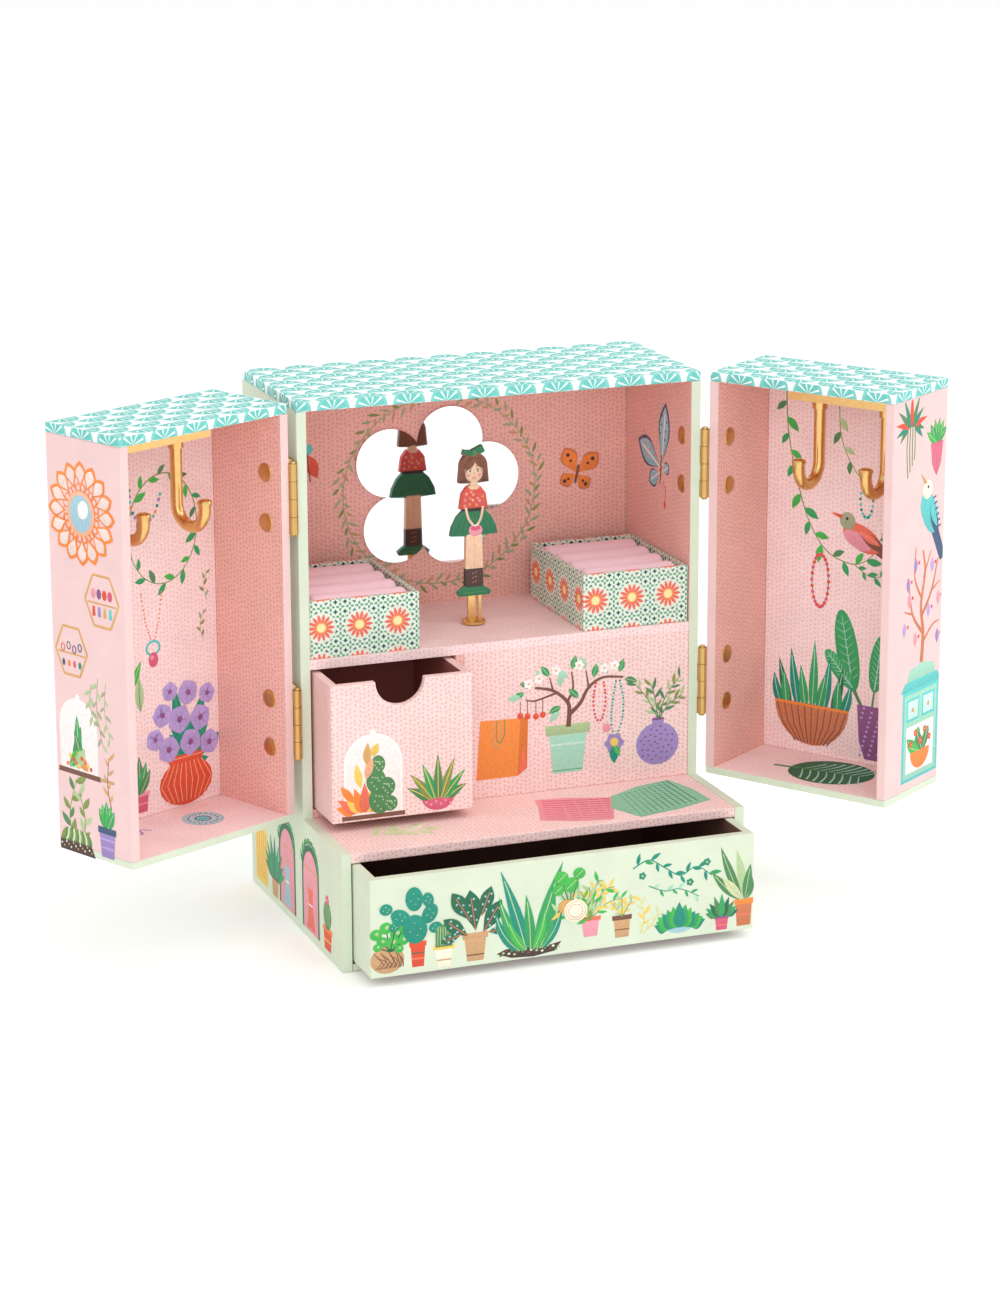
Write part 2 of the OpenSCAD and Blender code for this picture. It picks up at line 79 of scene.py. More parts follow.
studio = {"daylight": 0.83, "floorGlow": 0.16}
lamps = {
    "overhead": {"place": (0.3, -0.5, 1.7), "size": 1.6, "power": 8.5, "tint": (1, 0.99, 0.97)},
    "frontFill": {"place": (-0.9, -1.9, 0.8), "size": 1.4, "power": 6, "tint": (1, 1, 1)},
    "rightSide": {"place": (1.7, -0.7, 0.7), "size": 1.0, "power": 4, "tint": (1, 0.985, 0.97)},
}
aim = Vector((0, 0, 0.09))
for lampName, lamp in lamps.items():
    lampData = bpy.data.lights.new(lampName, "AREA")
    lampData.size = lamp["size"]
    lampData.energy = lamp["power"]
    lampData.color = lamp["tint"]
    lampObject = bpy.data.objects.new(lampName, lampData)
    bpy.context.scene.collection.objects.link(lampObject)
    lampObject.location = lamp["place"]
    lampObject.rotation_euler = (aim - Vector(lamp["place"])).to_track_quat("-Z", "Y").to_euler()

world = bpy.data.worlds.new("whiteStudio")
bpy.context.scene.world = world
world.use_nodes = True
world.node_tree.nodes["Background"].inputs["Color"].default_value = (1, 1, 1, 1)
world.node_tree.nodes["Background"].inputs["Strength"].default_value = studio["daylight"]


# sRGB hex colour to the linear values that shaders take
def linear(hexColour):
    values = [int(hexColour[k:k + 2], 16) / 255 for k in (1, 3, 5)]
    return tuple(v / 12.92 if v <= 0.04045 else ((v + 0.055) / 1.055) ** 2.4 for v in values) + (1,)


# Sets what a node holds; a value that is itself a node or a socket is linked
def setNode(mat, node, settings):
    for key, value in settings.items():
        if isinstance(value, bpy.types.Node):
            value = value.outputs[0]
        if isinstance(value, bpy.types.NodeSocket):
            mat.node_tree.links.new(value, node.inputs[key])
        elif isinstance(key, int) or key in node.inputs:
            node.inputs[key].default_value = value
        else:
            setattr(node, key, value)
    return node


def addNode(mat, kind, settings):
    return setNode(mat, mat.node_tree.nodes.new("ShaderNode" + kind), settings)


def newMaterial(name, roughness, metallic=0.0):
    mat = bpy.data.materials.new(name)
    mat.use_nodes = True
    shader = mat.node_tree.nodes["Principled BSDF"]
    return mat, setNode(mat, shader, {"Roughness": roughness, "Metallic": metallic})


# How far a door has turned from closed to where it stands at rest, and its pin
def doorTurn(body):
    if body not in ("left_door", "right_door"):
        return 0.0, Vector((0, 0, 0))
    hinge = joints[body + "_hinge"]
    opened = radians(-hinge["range_deg"][0]) * hinge["axis"][2]
    return opened, Vector((hinge["pos_m"][0], hinge["pos_m"][1], 0))


# Object coordinates in millimetres, turned back to how a door stands when it is closed
def ownCoords(mat, body):
    turn, pivot = doorTurn(body)
    shift = pivot - Matrix.Rotation(-turn, 3, "Z") @ pivot
    return addNode(mat, "Mapping", {
        "Scale": (1000, 1000, 1000), "Rotation": (0, 0, -turn), "Location": shift * 1000,
        "Vector": addNode(mat, "TexCoord", {}).outputs["Object"]}).outputs[0]


# Unfolds a board's faces into one flat sheet: across and up on a wall,
# across and back on a level face
def sheetCoords(mat, place, level=0.0):
    xyz = addNode(mat, "SeparateXYZ", {0: place})
    x, y, z = xyz.outputs
    along = addNode(mat, "Math", {"operation": "ADD", 0: x, 1: y})
    rise = addNode(mat, "Math", {"operation": "SUBTRACT", 0: z, 1: level})
    wall = addNode(mat, "CombineXYZ", {0: along, 1: rise})
    floorXY = addNode(mat, "CombineXYZ", {0: x, 1: y})
    normal = addNode(mat, "SeparateXYZ", {0: addNode(mat, "NewGeometry", {}).outputs["Normal"]})
    upness = addNode(mat, "Math", {"operation": "ABSOLUTE", 0: normal.outputs[2]})
    isLevel = addNode(mat, "Math", {"operation": "GREATER_THAN", 0: upness, 1: 0.6})
    flat = addNode(mat, "Mix", {"data_type": "VECTOR", 0: isLevel, 4: wall, 5: floorXY})
    return xyz, flat.outputs[1]


# Soft mottling that every printed sheet has
def tone(mat, colour, place, amount):
    cloud = addNode(mat, "TexNoise", {"Scale": 0.09, "Detail": 3.0, "Vector": place})
    bright = addNode(mat, "MapRange", {0: cloud, 1: 0.3, 2: 0.7, 3: 1 - amount, 4: 1 + amount})
    shade = addNode(mat, "CombineXYZ", {0: bright, 1: bright, 2: bright})
    return addNode(mat, "Mix", {"data_type": "RGBA", "blend_type": "MULTIPLY",
                                0: 1.0, 6: colour, 7: shade}).outputs[2]


# Ends a material: its colour, a roughness that wanders with the grain, and the grain's relief
def finishSurface(mat, shader, colour, grain, smooth, coarse, strength, depth):
    gloss = addNode(mat, "MapRange", {0: grain, 1: 0.3, 2: 0.7, 3: smooth, 4: coarse})
    bump = addNode(mat, "Bump", {"Strength": strength, "Distance": depth, "Height": grain})
    setNode(mat, shader, {"Base Color": colour, "Roughness": gloss, "Normal": bump})


dottedLook = {
    "kind": "dots", "ground": "#f2bdb2", "ink": "#bf6f66", "pitch": 1.65, "dot": 0.27, "strength": 0.46,
}


# Salmon paper with small red-brown dashes set in bent rows
def dottedPaper(mat, flat, look):
    bent = addNode(mat, "TexWave", {"Scale": 0.055, "Distortion": 2.5, "Detail": 1.0, "Vector": flat})
    lift = addNode(mat, "CombineXYZ", {1: bent.outputs["Fac"]})
    rows = addNode(mat, "VectorMath", {"operation": "ADD", 0: flat, 1: lift})
    cells = addNode(mat, "TexVoronoi", {"voronoi_dimensions": "2D", "Scale": 1 / look["pitch"],
                                        "Randomness": 0.35, "Vector": rows})
    spots = addNode(mat, "MapRange", {0: cells.outputs["Distance"], 1: look["dot"] - 0.09,
                                      2: look["dot"] + 0.05, 3: look["strength"], 4: 0.0})
    return addNode(mat, "Mix", {"data_type": "RGBA", 0: spots, 6: linear(look["ground"]),
                                7: linear(look["ink"])}).outputs[2]


fanLook = {
    "kind": "fans", "ground": "#fcfffe", "ink": "#6ccac1", "rim": "#7fd3cb", "pitch": 13.7, "row": 6.3,
    "radius": 5.9, "rays": 4.5,
}


# Rows of half-round fans with pale rays, each row set over by half a fan
def fanPaper(mat, flat, look):
    xy = addNode(mat, "SeparateXYZ", {0: flat})
    row = addNode(mat, "Math", {"operation": "DIVIDE", 0: xy.outputs[1], 1: look["row"]})
    rowNumber = addNode(mat, "Math", {"operation": "FLOOR", 0: row})
    rise = addNode(mat, "Math", {"operation": "FRACT", 0: row})
    up = addNode(mat, "Math", {"operation": "MULTIPLY", 0: rise, 1: look["row"]})
    half = addNode(mat, "Math", {"operation": "MULTIPLY", 0: rowNumber, 1: look["pitch"] / 2})
    moved = addNode(mat, "Math", {"operation": "ADD", 0: xy, 1: half})
    step = addNode(mat, "Math", {"operation": "DIVIDE", 0: moved, 1: look["pitch"]})
    cell = addNode(mat, "Math", {"operation": "FRACT", 0: step})
    middle = addNode(mat, "Math", {"operation": "SUBTRACT", 0: cell, 1: 0.5})
    across = addNode(mat, "Math", {"operation": "MULTIPLY", 0: middle, 1: look["pitch"]})
    spot = addNode(mat, "CombineXYZ", {0: across, 1: up})
    reach = addNode(mat, "VectorMath", {"operation": "LENGTH", 0: spot}).outputs["Value"]
    angle = addNode(mat, "Math", {"operation": "ARCTAN2", 0: up, 1: across})
    turns = addNode(mat, "Math", {"operation": "MULTIPLY", 0: angle, 1: look["rays"]})
    wave = addNode(mat, "Math", {"operation": "SINE", 0: turns})
    swing = addNode(mat, "Math", {"operation": "ABSOLUTE", 0: wave})
    ray = addNode(mat, "MapRange", {0: swing, 1: 0.22, 2: 0.5})
    edge = look["radius"]
    inside = addNode(mat, "MapRange", {0: reach, 1: edge - 0.15, 2: edge + 0.15, 3: 1.0, 4: 0.0})
    rim = addNode(mat, "MapRange", {0: reach, 1: edge - 1.25, 2: edge - 0.95, 3: 0.0, 4: 1.0})
    body = addNode(mat, "Math", {"operation": "MAXIMUM", 0: ray, 1: rim})
    fill = addNode(mat, "Math", {"operation": "MULTIPLY", 0: body, 1: inside})
    ink = addNode(mat, "Mix", {"data_type": "RGBA", 0: rim, 6: linear(look["ink"]), 7: linear(look["rim"])})
    return addNode(mat, "Mix", {"data_type": "RGBA", 0: fill, 6: linear(look["ground"]),
                                7: ink.outputs[2]}).outputs[2]


# Each layer is an ink and the radii between which it goes from one strength to another,
# or an ink alone, which fills the star's or daisy's own outline
daisyRadius = 4.9  # mm, to the tips of the petals
tileLook = {
    "kind": "tile", "white": "#e6eede", "green": "#56a082", "mint": "#8fcdb4", "navy": "#2c3f58",
    "daisy": "#ee6a55", "heart": "#fbe9a8", "ring": "#f39a4f",
    "star": {"cell": 3.5, "points": 4.0, "size": 1.05, "swell": 0.5,
             "layers": (("green",), ("white", 0.4, 0.55, 1.0, 0.0), ("mint", 1.75, 1.95, 0.0, 1.0),
                        ("navy", 1.92, 2.05, 0.0, 1.0))},
    "flower": {"cell": 14.0, "points": 14.0, "size": daisyRadius * 0.84, "swell": daisyRadius * 0.16,
               "layers": (("white", 5.3, 5.7, 0.9, 0.0), ("daisy",), ("ring", 1.95, 2.25, 1.0, 0.0),
                          ("heart", 1.4, 1.7, 1.0, 0.0))},
}


# Fine tile print with a coral daisy on every fourth tile
def tilePaper(mat, flat, look):
    moved = addNode(mat, "VectorMath", {"operation": "SUBTRACT", 0: flat, 1: look["start"]})
    colour = linear(look["white"])
    for motif in ("star", "flower"):
        part = look[motif]
        scaled = addNode(mat, "VectorMath", {"operation": "SCALE", 0: moved, "Scale": 1 / part["cell"]})
        lifted = addNode(mat, "VectorMath", {"operation": "ADD", 0: scaled, 1: (0.5, 0.5, 0)})
        cell = addNode(mat, "VectorMath", {"operation": "FRACTION", 0: lifted})
        centred = addNode(mat, "VectorMath", {"operation": "SUBTRACT", 0: cell, 1: (0.5, 0.5, 0)})
        grown = addNode(mat, "VectorMath", {"operation": "SCALE", 0: centred, "Scale": part["cell"]})
        x, y, z = addNode(mat, "SeparateXYZ", {0: grown}).outputs
        flatSpot = addNode(mat, "CombineXYZ", {0: x, 1: y})
        reach = addNode(mat, "VectorMath", {"operation": "LENGTH", 0: flatSpot}).outputs["Value"]
        angle = addNode(mat, "Math", {"operation": "ARCTAN2", 0: y, 1: x})
        turns = addNode(mat, "Math", {"operation": "MULTIPLY", 0: angle, 1: part["points"]})
        petal = addNode(mat, "Math", {"operation": "COSINE", 0: turns})
        edge = addNode(mat, "Math", {"operation": "MULTIPLY_ADD", 0: petal, 1: part["swell"],
            2: part["size"]})
        gap = addNode(mat, "Math", {"operation": "SUBTRACT", 0: reach, 1: edge})
        outline = addNode(mat, "MapRange", {0: gap, 1: -0.12, 2: 0.12, 3: 1.0, 4: 0.0})
        if motif == "flower":  # slits between the petals, which run into a solid heart
            slit = addNode(mat, "MapRange", {0: petal, 1: -0.97, 2: -0.72})
            core = addNode(mat, "MapRange", {0: reach, 1: 2.4, 2: 2.7, 3: 1.0, 4: 0.0})
            solid = addNode(mat, "Math", {"operation": "MAXIMUM", 0: slit, 1: core})
            outline = addNode(mat, "Math", {"operation": "MULTIPLY", 0: solid, 1: outline})
        for ink, *fade in part["layers"]:
            mask = outline
            if fade:
                mask = addNode(mat, "MapRange", {0: reach, **dict(enumerate(fade, 1))})
            colour = addNode(mat, "Mix", {"data_type": "RGBA", 0: mask, 6: colour,
                                          7: linear(look[ink])}).outputs[2]
    return colour


# A finish is a plain colour, or one of the printed patterns
def finishColour(mat, finish, flat):
    pattern = {"dots": dottedPaper, "fans": fanPaper, "tile": tilePaper}.get(finish["kind"])
    return pattern(mat, flat, finish) if pattern else linear(finish["ground"])


salmon = dottedLook
blush = dict(dottedLook, ground="#fadad6", ink="#d98a85", strength=0.5)
rosy = dict(dottedLook, ground="#fde2e1", ink="#df9895", strength=0.42)
fans = fanLook
mintPaper, petalPaper, dustyBrown, redBrown = (
    {"kind": "plain", "ground": ground} for ground in ("#d9e4cd", "#f0cdcb", "#7d5a4e", "#a8625a"))


# Printed paper glued over board: a dry, slightly fibrous sheet with a faint satin varnish.
# Each board has a face finish, and others where a test on its own coordinates holds.
def paperMaterial(name, body, face, others=(), level=0.0, rough=0.62):
    mat, shader = newMaterial(name, rough)
    place = ownCoords(mat, body)
    xyz, flat = sheetCoords(mat, place, level)
    colour = finishColour(mat, face, flat)
    for finish, tests in others:
        mask = 1.0
        for axis, sign, limit in tests:
            operation = "GREATER_THAN" if sign == ">" else "LESS_THAN"
            held = addNode(mat, "Math", {"operation": operation, 0: xyz.outputs["xyz".index(axis)], 1: limit})
            mask = addNode(mat, "Math", {"operation": "MULTIPLY", 0: held, 1: mask})
        colour = addNode(mat, "Mix", {"data_type": "RGBA", 0: mask, 6: colour,
                                      7: finishColour(mat, finish, flat)}).outputs[2]
    fibre = addNode(mat, "TexNoise", {"Scale": 2.2, "Detail": 4.0, "Roughness": 0.7, "Vector": place})
    finishSurface(mat, shader, tone(mat, colour, place, 0.035), fibre, rough - 0.07, rough + 0.08, 0.16,
        0.00012)
    return mat


def dress(node, mat):
    nodes[node].data.materials.clear()
    nodes[node].data.materials.append(mat)


# A node's lowest and highest corner in millimetres: the limits of the papers
def lowMm(node):
    return [c * 1000 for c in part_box(node)[0]]


def highMm(node):
    return [c * 1000 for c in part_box(node)[1]]


def board(node, body, face, others=(), level=0.0, rough=0.62):
    dress(node, paperMaterial("paperOverBoard_" + node, body, face, others, level, rough))


cut = 0.04  # how far past a face a test looks, so that only that face takes the other finish
roofLow = lowMm("roof_board")[2]
thick = highMm("roof_board")[2] - roofLow
cupboardSide = highMm("right_side_board")[0]
platformTop = highMm("platform_board")[2]
board("left_side_board", "cabinet", mintPaper, [
    (salmon, [("x", ">", highMm("left_side_board")[0] - cut), ("z", ">", platformTop + cut)])])
board("right_side_board", "cabinet", mintPaper, [
    (salmon, [("x", "<", lowMm("right_side_board")[0] + cut), ("z", ">", platformTop + cut)])])
board("roof_board", "cabinet", fans, [(salmon, [("z", "<", roofLow + cut)])], roofLow)
board("back_panel", "cabinet", mintPaper, [(salmon, [("y", "<", lowMm("back_panel")[1] + cut)])])
board("base_floor", "cabinet", dustyBrown, [(mintPaper, [("y", "<", lowMm("base_floor")[1] + cut)]),
    (mintPaper, [("z", "<", lowMm("base_floor")[2] + cut)])])
for name, finish in (("divider_board", salmon), ("drawer_runner", salmon), ("music_panel", blush),
                     ("platform_board", blush), ("stage_board", rosy)):
    board(name, "cabinet", finish)

boxDoor = {
    "depth": 38.0, "outerSide": 75, "openFront": -0.8,
    "meetingGap": 0.5,  # half of what the closed doors leave between them
}
for side, door in ((-1, "left_door"), (1, "right_door")):
    openSide = 2 * joints[door + "_hinge"]["pos_m"][1] * 1000
    fromHinge, fromFree = (">", "<") if side < 0 else ("<", ">")
    inFront = ("y", "<", openSide - cut)
    board(door + "_panel", door, petalPaper,
        [(rosy, [("y", ">", openSide - boxDoor["depth"] + thick - cut)])])
    board(door + "_hinge_wall", door, petalPaper, [
        (salmon, [("x", fromHinge, side * (cupboardSide - thick + cut)), inFront])])
    board(door + "_meeting_wall", door, petalPaper, [
        (salmon, [("x", fromFree, side * (boxDoor["meetingGap"] + thick + cut)), inFront])])
    board(door + "_roof", door, fans, [(salmon, [("z", "<", roofLow + cut)])], roofLow)
    board(door + "_floor", door, mintPaper, [(rosy, [("z", ">", highMm(door + "_floor")[2] - cut)])])

drawerWall = 3.0
for drawer, face, rim, lining in (("upper_drawer", blush, petalPaper, redBrown),
                                  ("lower_drawer", mintPaper, mintPaper, dustyBrown)):
    low, high = lowMm(drawer + "_sides"), highMm(drawer + "_sides")
    board(drawer + "_front", drawer, face, [
        (lining, [("y", ">", highMm(drawer + "_front")[1] - cut), ("z", "<", high[2] - 1.5)])])
    board(drawer + "_sides", drawer, rim, [
        (lining, [("x", ">", low[0] + drawerWall - cut), ("x", "<", high[0] - drawerWall + cut),
                  ("z", "<", high[2] - cut)])])
    for part in ("_back", "_floor"):
        board(drawer + part, drawer, lining, rough=0.75)

trayStart = {"left_ring_tray": -66.2, "right_ring_tray": 36.3}  # where the first tile begins
for name, start in trayStart.items():
    board(name, "cabinet", dict(tileLook, start=(start, 111.0, 0)), rough=0.5)
print("papers dressed")


# Brass-plated steel, polished on a wheel: warm, soft-edged reflections and fine wipe marks
def brassMaterial(name, dark, light, rough):
    mat, shader = newMaterial(name, rough, 1.0)
    place = ownCoords(mat, "cabinet")
    cloud = addNode(mat, "TexNoise", {"Scale": 0.35, "Detail": 4.0, "Vector": place})
    tint = addNode(mat, "Mix", {"data_type": "RGBA", 0: cloud, 6: linear(dark), 7: linear(light)})
    wiped = addNode(mat, "TexNoise", {"Scale": 3.0, "Detail": 5.0, "Vector": place})
    finishSurface(mat, shader, tint.outputs[2], wiped, rough - 0.06, rough + 0.1, 0.08, 0.00008)
    return mat


for name, dark, light, rough, parts in (
        ("polishedBrassPlate", "#efc987", "#dfb16c", 0.22,
         ("left_hook_rail", "right_hook_rail", "left_hooks", "right_hooks", "figure_stand")),
        ("stampedBrassHinge", "#dcb877", "#c79f5c", 0.3,
         ("cabinet_hinge_leaves", "hinge_pins", "left_door_hinge_leaves", "right_door_hinge_leaves")),
        ("rivetHeadBrass", "#dba86e", "#c6935c", 0.34,
         ("cabinet_hinge_rivets", "left_door_rivets", "right_door_rivets")),
        ("turnedMovementBrass", "#d9b56c", "#caa25a", 0.27,
         ("pinned_cylinder", "star_wheel", "crown_wheel", "spring_barrel", "winding_key")),
        ("castMovementSteel", "#b7bbc0", "#9fa4aa", 0.36,
         ("movement_frame", "movement_screws", "mainspring", "comb", "comb_screws", "governor_fan",
          "winding_arbor"))):
    metal = brassMaterial(name, dark, light, rough)
    for part in parts:
        dress(part, metal)

# Silvered acrylic sheet, laser cut: a clean mirror face with the faintest ripple
mirrorMat, mirrorShader = newMaterial("silveredAcrylicSheet", 0.03, 1.0)
ripple = addNode(mirrorMat, "TexNoise", {"Scale": 0.05, "Detail": 1.0,
    "Vector": ownCoords(mirrorMat, "cabinet")})
finishSurface(mirrorMat, mirrorShader, linear("#f4f8f9"), ripple, 0.015, 0.06, 0.05, 0.0001)
dress("mirror", mirrorMat)
print("metals and mirror dressed")


# Paper turned over a board's corner is never sharp
corner = {"radius": 0.35 * mm, "segments": 2, "angle": radians(50)}
boardWords = ("board", "panel", "wall", "roof", "floor", "front", "sides", "_back", "tray", "runner")
for name, node in nodes.items():
    if any(word in name for word in boardWords):
        weld = node.modifiers.new("weld", "WELD")
        weld.merge_threshold = 0.01 * mm
        flatten = node.modifiers.new("flatten", "DECIMATE")  # one face to each flat, so the bevel runs clean
        flatten.decimate_type = "DISSOLVE"
        flatten.angle_limit = radians(2)
        soften = node.modifiers.new("soften", "BEVEL")
        soften.width = corner["radius"]
        soften.segments = corner["segments"]
        soften.limit_method = "ANGLE"
        soften.angle_limit = corner["angle"]
        soften.use_clamp_overlap = True


# Gouache inks of the printed pictures
inks = {
    "leafGreen": "#33a35f", "deepTeal": "#12907a", "darkGreen": "#1f6a4b", "olive": "#87994f",
    "paleLeaf": "#b4cd98", "moss": "#4f8a56", "freshGreen": "#43b84d", "orange": "#f58b3a",
    "coral": "#ef7459", "redOrange": "#e4502f", "pink": "#ee9bab", "rose": "#dd5f7e",
    "purple": "#a18ac6", "lilac": "#bba3dd", "plum": "#905489", "terracotta": "#d27c53",
    "tan": "#cfa274", "brown": "#7d5140", "darkBrown": "#4c3833", "cream": "#f8efd8",
    "yellow": "#f2cf63", "paleBlue": "#a4c9d6", "turquoise": "#5fcbc9", "mint": "#a6dcc3",
    "skin": "#f4cfae", "hair": "#86553f", "black": "#332a28", "white": "#fdfaf5",
    "greyGreen": "#a9ae8a", "gold": "#dca862", "navy": "#3d5a7c", "paleTeal": "#cdeee4",
    "redTop": "#e35a4c", "skirtGreen": "#2c7d55", "bagOrange": "#f28f3d", "bagShade": "#e27a2c",
    "peach": "#f6b48e", "paleFrond": "#d9e0b0", "shell": "#f7dcd4",
    "clothPink": "#e6919a", "clothGreen": "#85c19f", "glassHaze": "#fcefec",
}
inkMats = {}


# Gouache picture, offset printed on coated paper: matt, with brush streaks and a lighter tip
def inkMaterial(ink):
    if ink in inkMats:
        return inkMats[ink]
    mat, shader = newMaterial("printedGouache_" + ink, 0.56)
    place = ownCoords(mat, "cabinet")
    shade = addNode(mat, "Attribute", {"attribute_name": "shade"}).outputs["Fac"]
    streak = addNode(mat, "TexNoise", {"Scale": 0.9, "Detail": 4.0, "Roughness": 0.65, "Vector": place})
    mixed = addNode(mat, "Math", {"operation": "ADD", 0: shade, 1: streak})
    spread = addNode(mat, "MapRange", {0: mixed, 1: 0.55, 2: 1.45, 3: 0.74, 4: 1.22})
    level = addNode(mat, "CombineXYZ", {0: spread, 1: spread, 2: spread})
    colour = addNode(mat, "Mix", {"data_type": "RGBA", "blend_type": "MULTIPLY",
                                  0: 1.0, 6: linear(inks[ink]), 7: level})
    gloss = addNode(mat, "MapRange", {0: streak, 1: 0.3, 2: 0.7, 3: 0.48, 4: 0.64})
    grain = addNode(mat, "TexNoise", {"Scale": 2.6, "Detail": 3.0, "Vector": place})
    bump = addNode(mat, "Bump", {"Strength": 0.14, "Distance": 0.0001, "Height": grain})
    setNode(mat, shader, {"Base Color": colour.outputs[2], "Roughness": gloss, "Normal": bump})
    inkMats[ink] = mat
    return mat


page = []  # the picture being drawn: each ink shape with its outline and its shade, low and high


def shape(ink, points, low=None, high=None):
    low = random.uniform(0.25, 0.45) if low is None else low
    high = low + 0.25 if high is None else high
    page.append((ink, points, low, high))


def panel(ink, x0, y0, x1, y1):
    shape(ink, [(x0, y0), (x1, y0), (x1, y1), (x0, y1)])


# The point at an angle in radians on an ellipse round (x, y)
def around(x, y, rx, ry, angle):
    return (x + rx * cos(angle), y + ry * sin(angle))


# Both edges of a ribbon along a path, as one outline; halfWidth says how wide it is at each step
def ribbon(path, halfWidth):
    left, right = [], []
    last = len(path) - 1
    for k, (px, py) in enumerate(path):
        dx = path[min(k + 1, last)][0] - path[max(k - 1, 0)][0]
        dy = path[min(k + 1, last)][1] - path[max(k - 1, 0)][1]
        size = hypot(dx, dy) or 1
        half = halfWidth(k / last)
        left.append((px - dy / size * half, py + dx / size * half))
        right.append((px + dy / size * half, py - dx / size * half))
    return left + right[::-1]


# Outline of a leaf that starts at (x, y), points along angle and may curl
def leaf(ink, x, y, angle, length, width, curl=0.0, belly=0.9, vein=None, count=9):
    spine, a = [(x, y)], radians(angle)
    step = length / (count - 1)
    for k in range(1, count):
        a += radians(curl) / (count - 1)
        spine.append(around(*spine[-1], step, step, a))
    shape(ink, ribbon(spine, lambda t: width / 2 * sin(pi * (t * 0.985 + 0.01) ** belly)))
    if vein:
        line(vein, spine[:-1], width * 0.09)


# Ribbon of ink along a path
def line(ink, path, width, end=None):
    end = width if end is None else end
    shape(ink, ribbon(path, lambda t: (width + (end - width) * t) / 2))


# A bent path through a few points
def bend(points, steps=5):
    path = []
    ends = [points[0]] + list(points) + [points[-1]]
    for k in range(1, len(ends) - 2):
        p0, p1, p2, p3 = ends[k - 1:k + 3]
        for s in range(steps):
            t = s / steps
            path.append(tuple(
                0.5 * (2 * p1[i] + (p2[i] - p0[i]) * t + (2 * p0[i] - 5 * p1[i] + 4 * p2[i] - p3[i]) * t * t
                       + (3 * p1[i] - p0[i] - 3 * p2[i] + p3[i]) * t ** 3) for i in (0, 1)))
    return path + [points[-1]]


def disc(ink, x, y, rx, ry=None, turn=0.0, count=18):
    ry = rx if ry is None else ry
    c, s = cos(radians(turn)), sin(radians(turn))
    shape(ink, [
        (x + c * rx * cos(a) - s * ry * sin(a), y + s * rx * cos(a) + c * ry * sin(a))
        for a in (2 * pi * k / count for k in range(count))])


def hoop(ink, x, y, rx, ry, width, count=28, start=0, sweep=360):
    line(ink, [around(x, y, rx, ry, radians(start + sweep * k / count)) for k in range(count + 1)], width)


def bloom(ink, x, y, r, petals, centre, narrow=0.42, start=0):
    for k in range(petals):
        leaf(ink, x, y, start + 360 * k / petals, r, r * narrow * 2, belly=1.2, count=6)
    disc(centre, x, y, r * 0.24, count=10)


def pot(ink, x, y, top, bottom, height, rim=None, bands=()):
    shape(ink, [(x - bottom / 2, y), (x + bottom / 2, y),
                (x + top / 2, y + height), (x - top / 2, y + height)])
    for band, at, size in bands:
        half = (bottom + (top - bottom) * at) / 2
        panel(band, x - half, y + height * at, x + half, y + height * at + size)
    if rim:
        shape(rim, [(x - top * 0.56, y + height * 0.84), (x + top * 0.56, y + height * 0.84),
                    (x + top * 0.58, y + height * 1.06), (x - top * 0.58, y + height * 1.06)])


def bowl(ink, x, y, width, height, count=14):
    shape(ink, [around(x, y + height, -width / 2, -height, pi * k / count) for k in range(count + 1)])


# Sword-shaped leaves that fan out of one place
def aloe(colours, x, y, spread, length, width, count, curl=24, vein=None):
    order = sorted(range(count), key=lambda k: -abs(k - (count - 1) / 2))
    for k in order:
        t = 0 if count == 1 else k / (count - 1) * 2 - 1
        size = length * (1 - 0.42 * abs(t)) * random.uniform(0.86, 1.08)
        leaf(colours[k % len(colours)], x + t * width, y, 90 - t * spread, size, width, -t * curl, belly=0.62,
            vein=vein)


# Veined leaves that fan out at even angles, the outer ones shorter
def tuft(colours, x, y, start, step, count, length, shorter, width=3.4):
    for k in range(count):
        leaf(colours[k % len(colours)], x, y, start + step * k, length - abs(k - count // 2) * shorter, width,
             vein="paleLeaf")


# Stem with leaves in pairs
def sprig(stemInk, leafInks, points, size, gap, wide=0.42, stem=0.45, lean=48, skip=0):
    path = bend(points, 8)
    line(stemInk, path, stem, stem * 0.6)
    run, side = 0.0, 1
    for k in range(1, len(path)):
        dx, dy = path[k][0] - path[k - 1][0], path[k][1] - path[k - 1][1]
        run += hypot(dx, dy)
        if run > gap and k > skip:
            run = 0.0
            angle = degrees(atan2(dy, dx)) + side * lean * random.uniform(0.8, 1.2)
            long = size * random.uniform(0.8, 1.15)
            leaf(random.choice(leafInks), path[k][0], path[k][1], angle, long, long * wide, side * -14)
            side = -side


def beads(colours, points, size, gap):
    path = bend(points, 14)
    run, count = gap, 0
    for k in range(1, len(path)):
        run += hypot(path[k][0] - path[k - 1][0], path[k][1] - path[k - 1][1])
        if run >= gap:
            run = 0.0
            disc(colours[count % len(colours)], path[k][0], path[k][1], size, count=8)
            count += 1


def butterfly(x, y, size, turn, wing, edge, spot):
    for side in (1, -1):
        for angle, long, wide in ((52, 1.0, 0.62), (-38, 0.66, 0.5)):
            a = turn + (angle if side > 0 else 180 - angle)
            leaf(edge, x, y, a, size * long, size * wide, 0, belly=1.55)
            leaf(wing, x, y, a, size * long * 0.9, size * wide * 0.8, 0, belly=1.55)
            rad = radians(a)
            for far, dotSize in ((0.72, 0.07), (0.5, 0.05)):
                disc(spot, *around(x, y, size * long * far, size * long * far, rad), size * dotSize, count=8)
    tilt, half = radians(turn + 90), size * 0.3
    line("brown", [around(x, y, -half, -half, tilt), around(x, y, half, half, tilt)], size * 0.09)


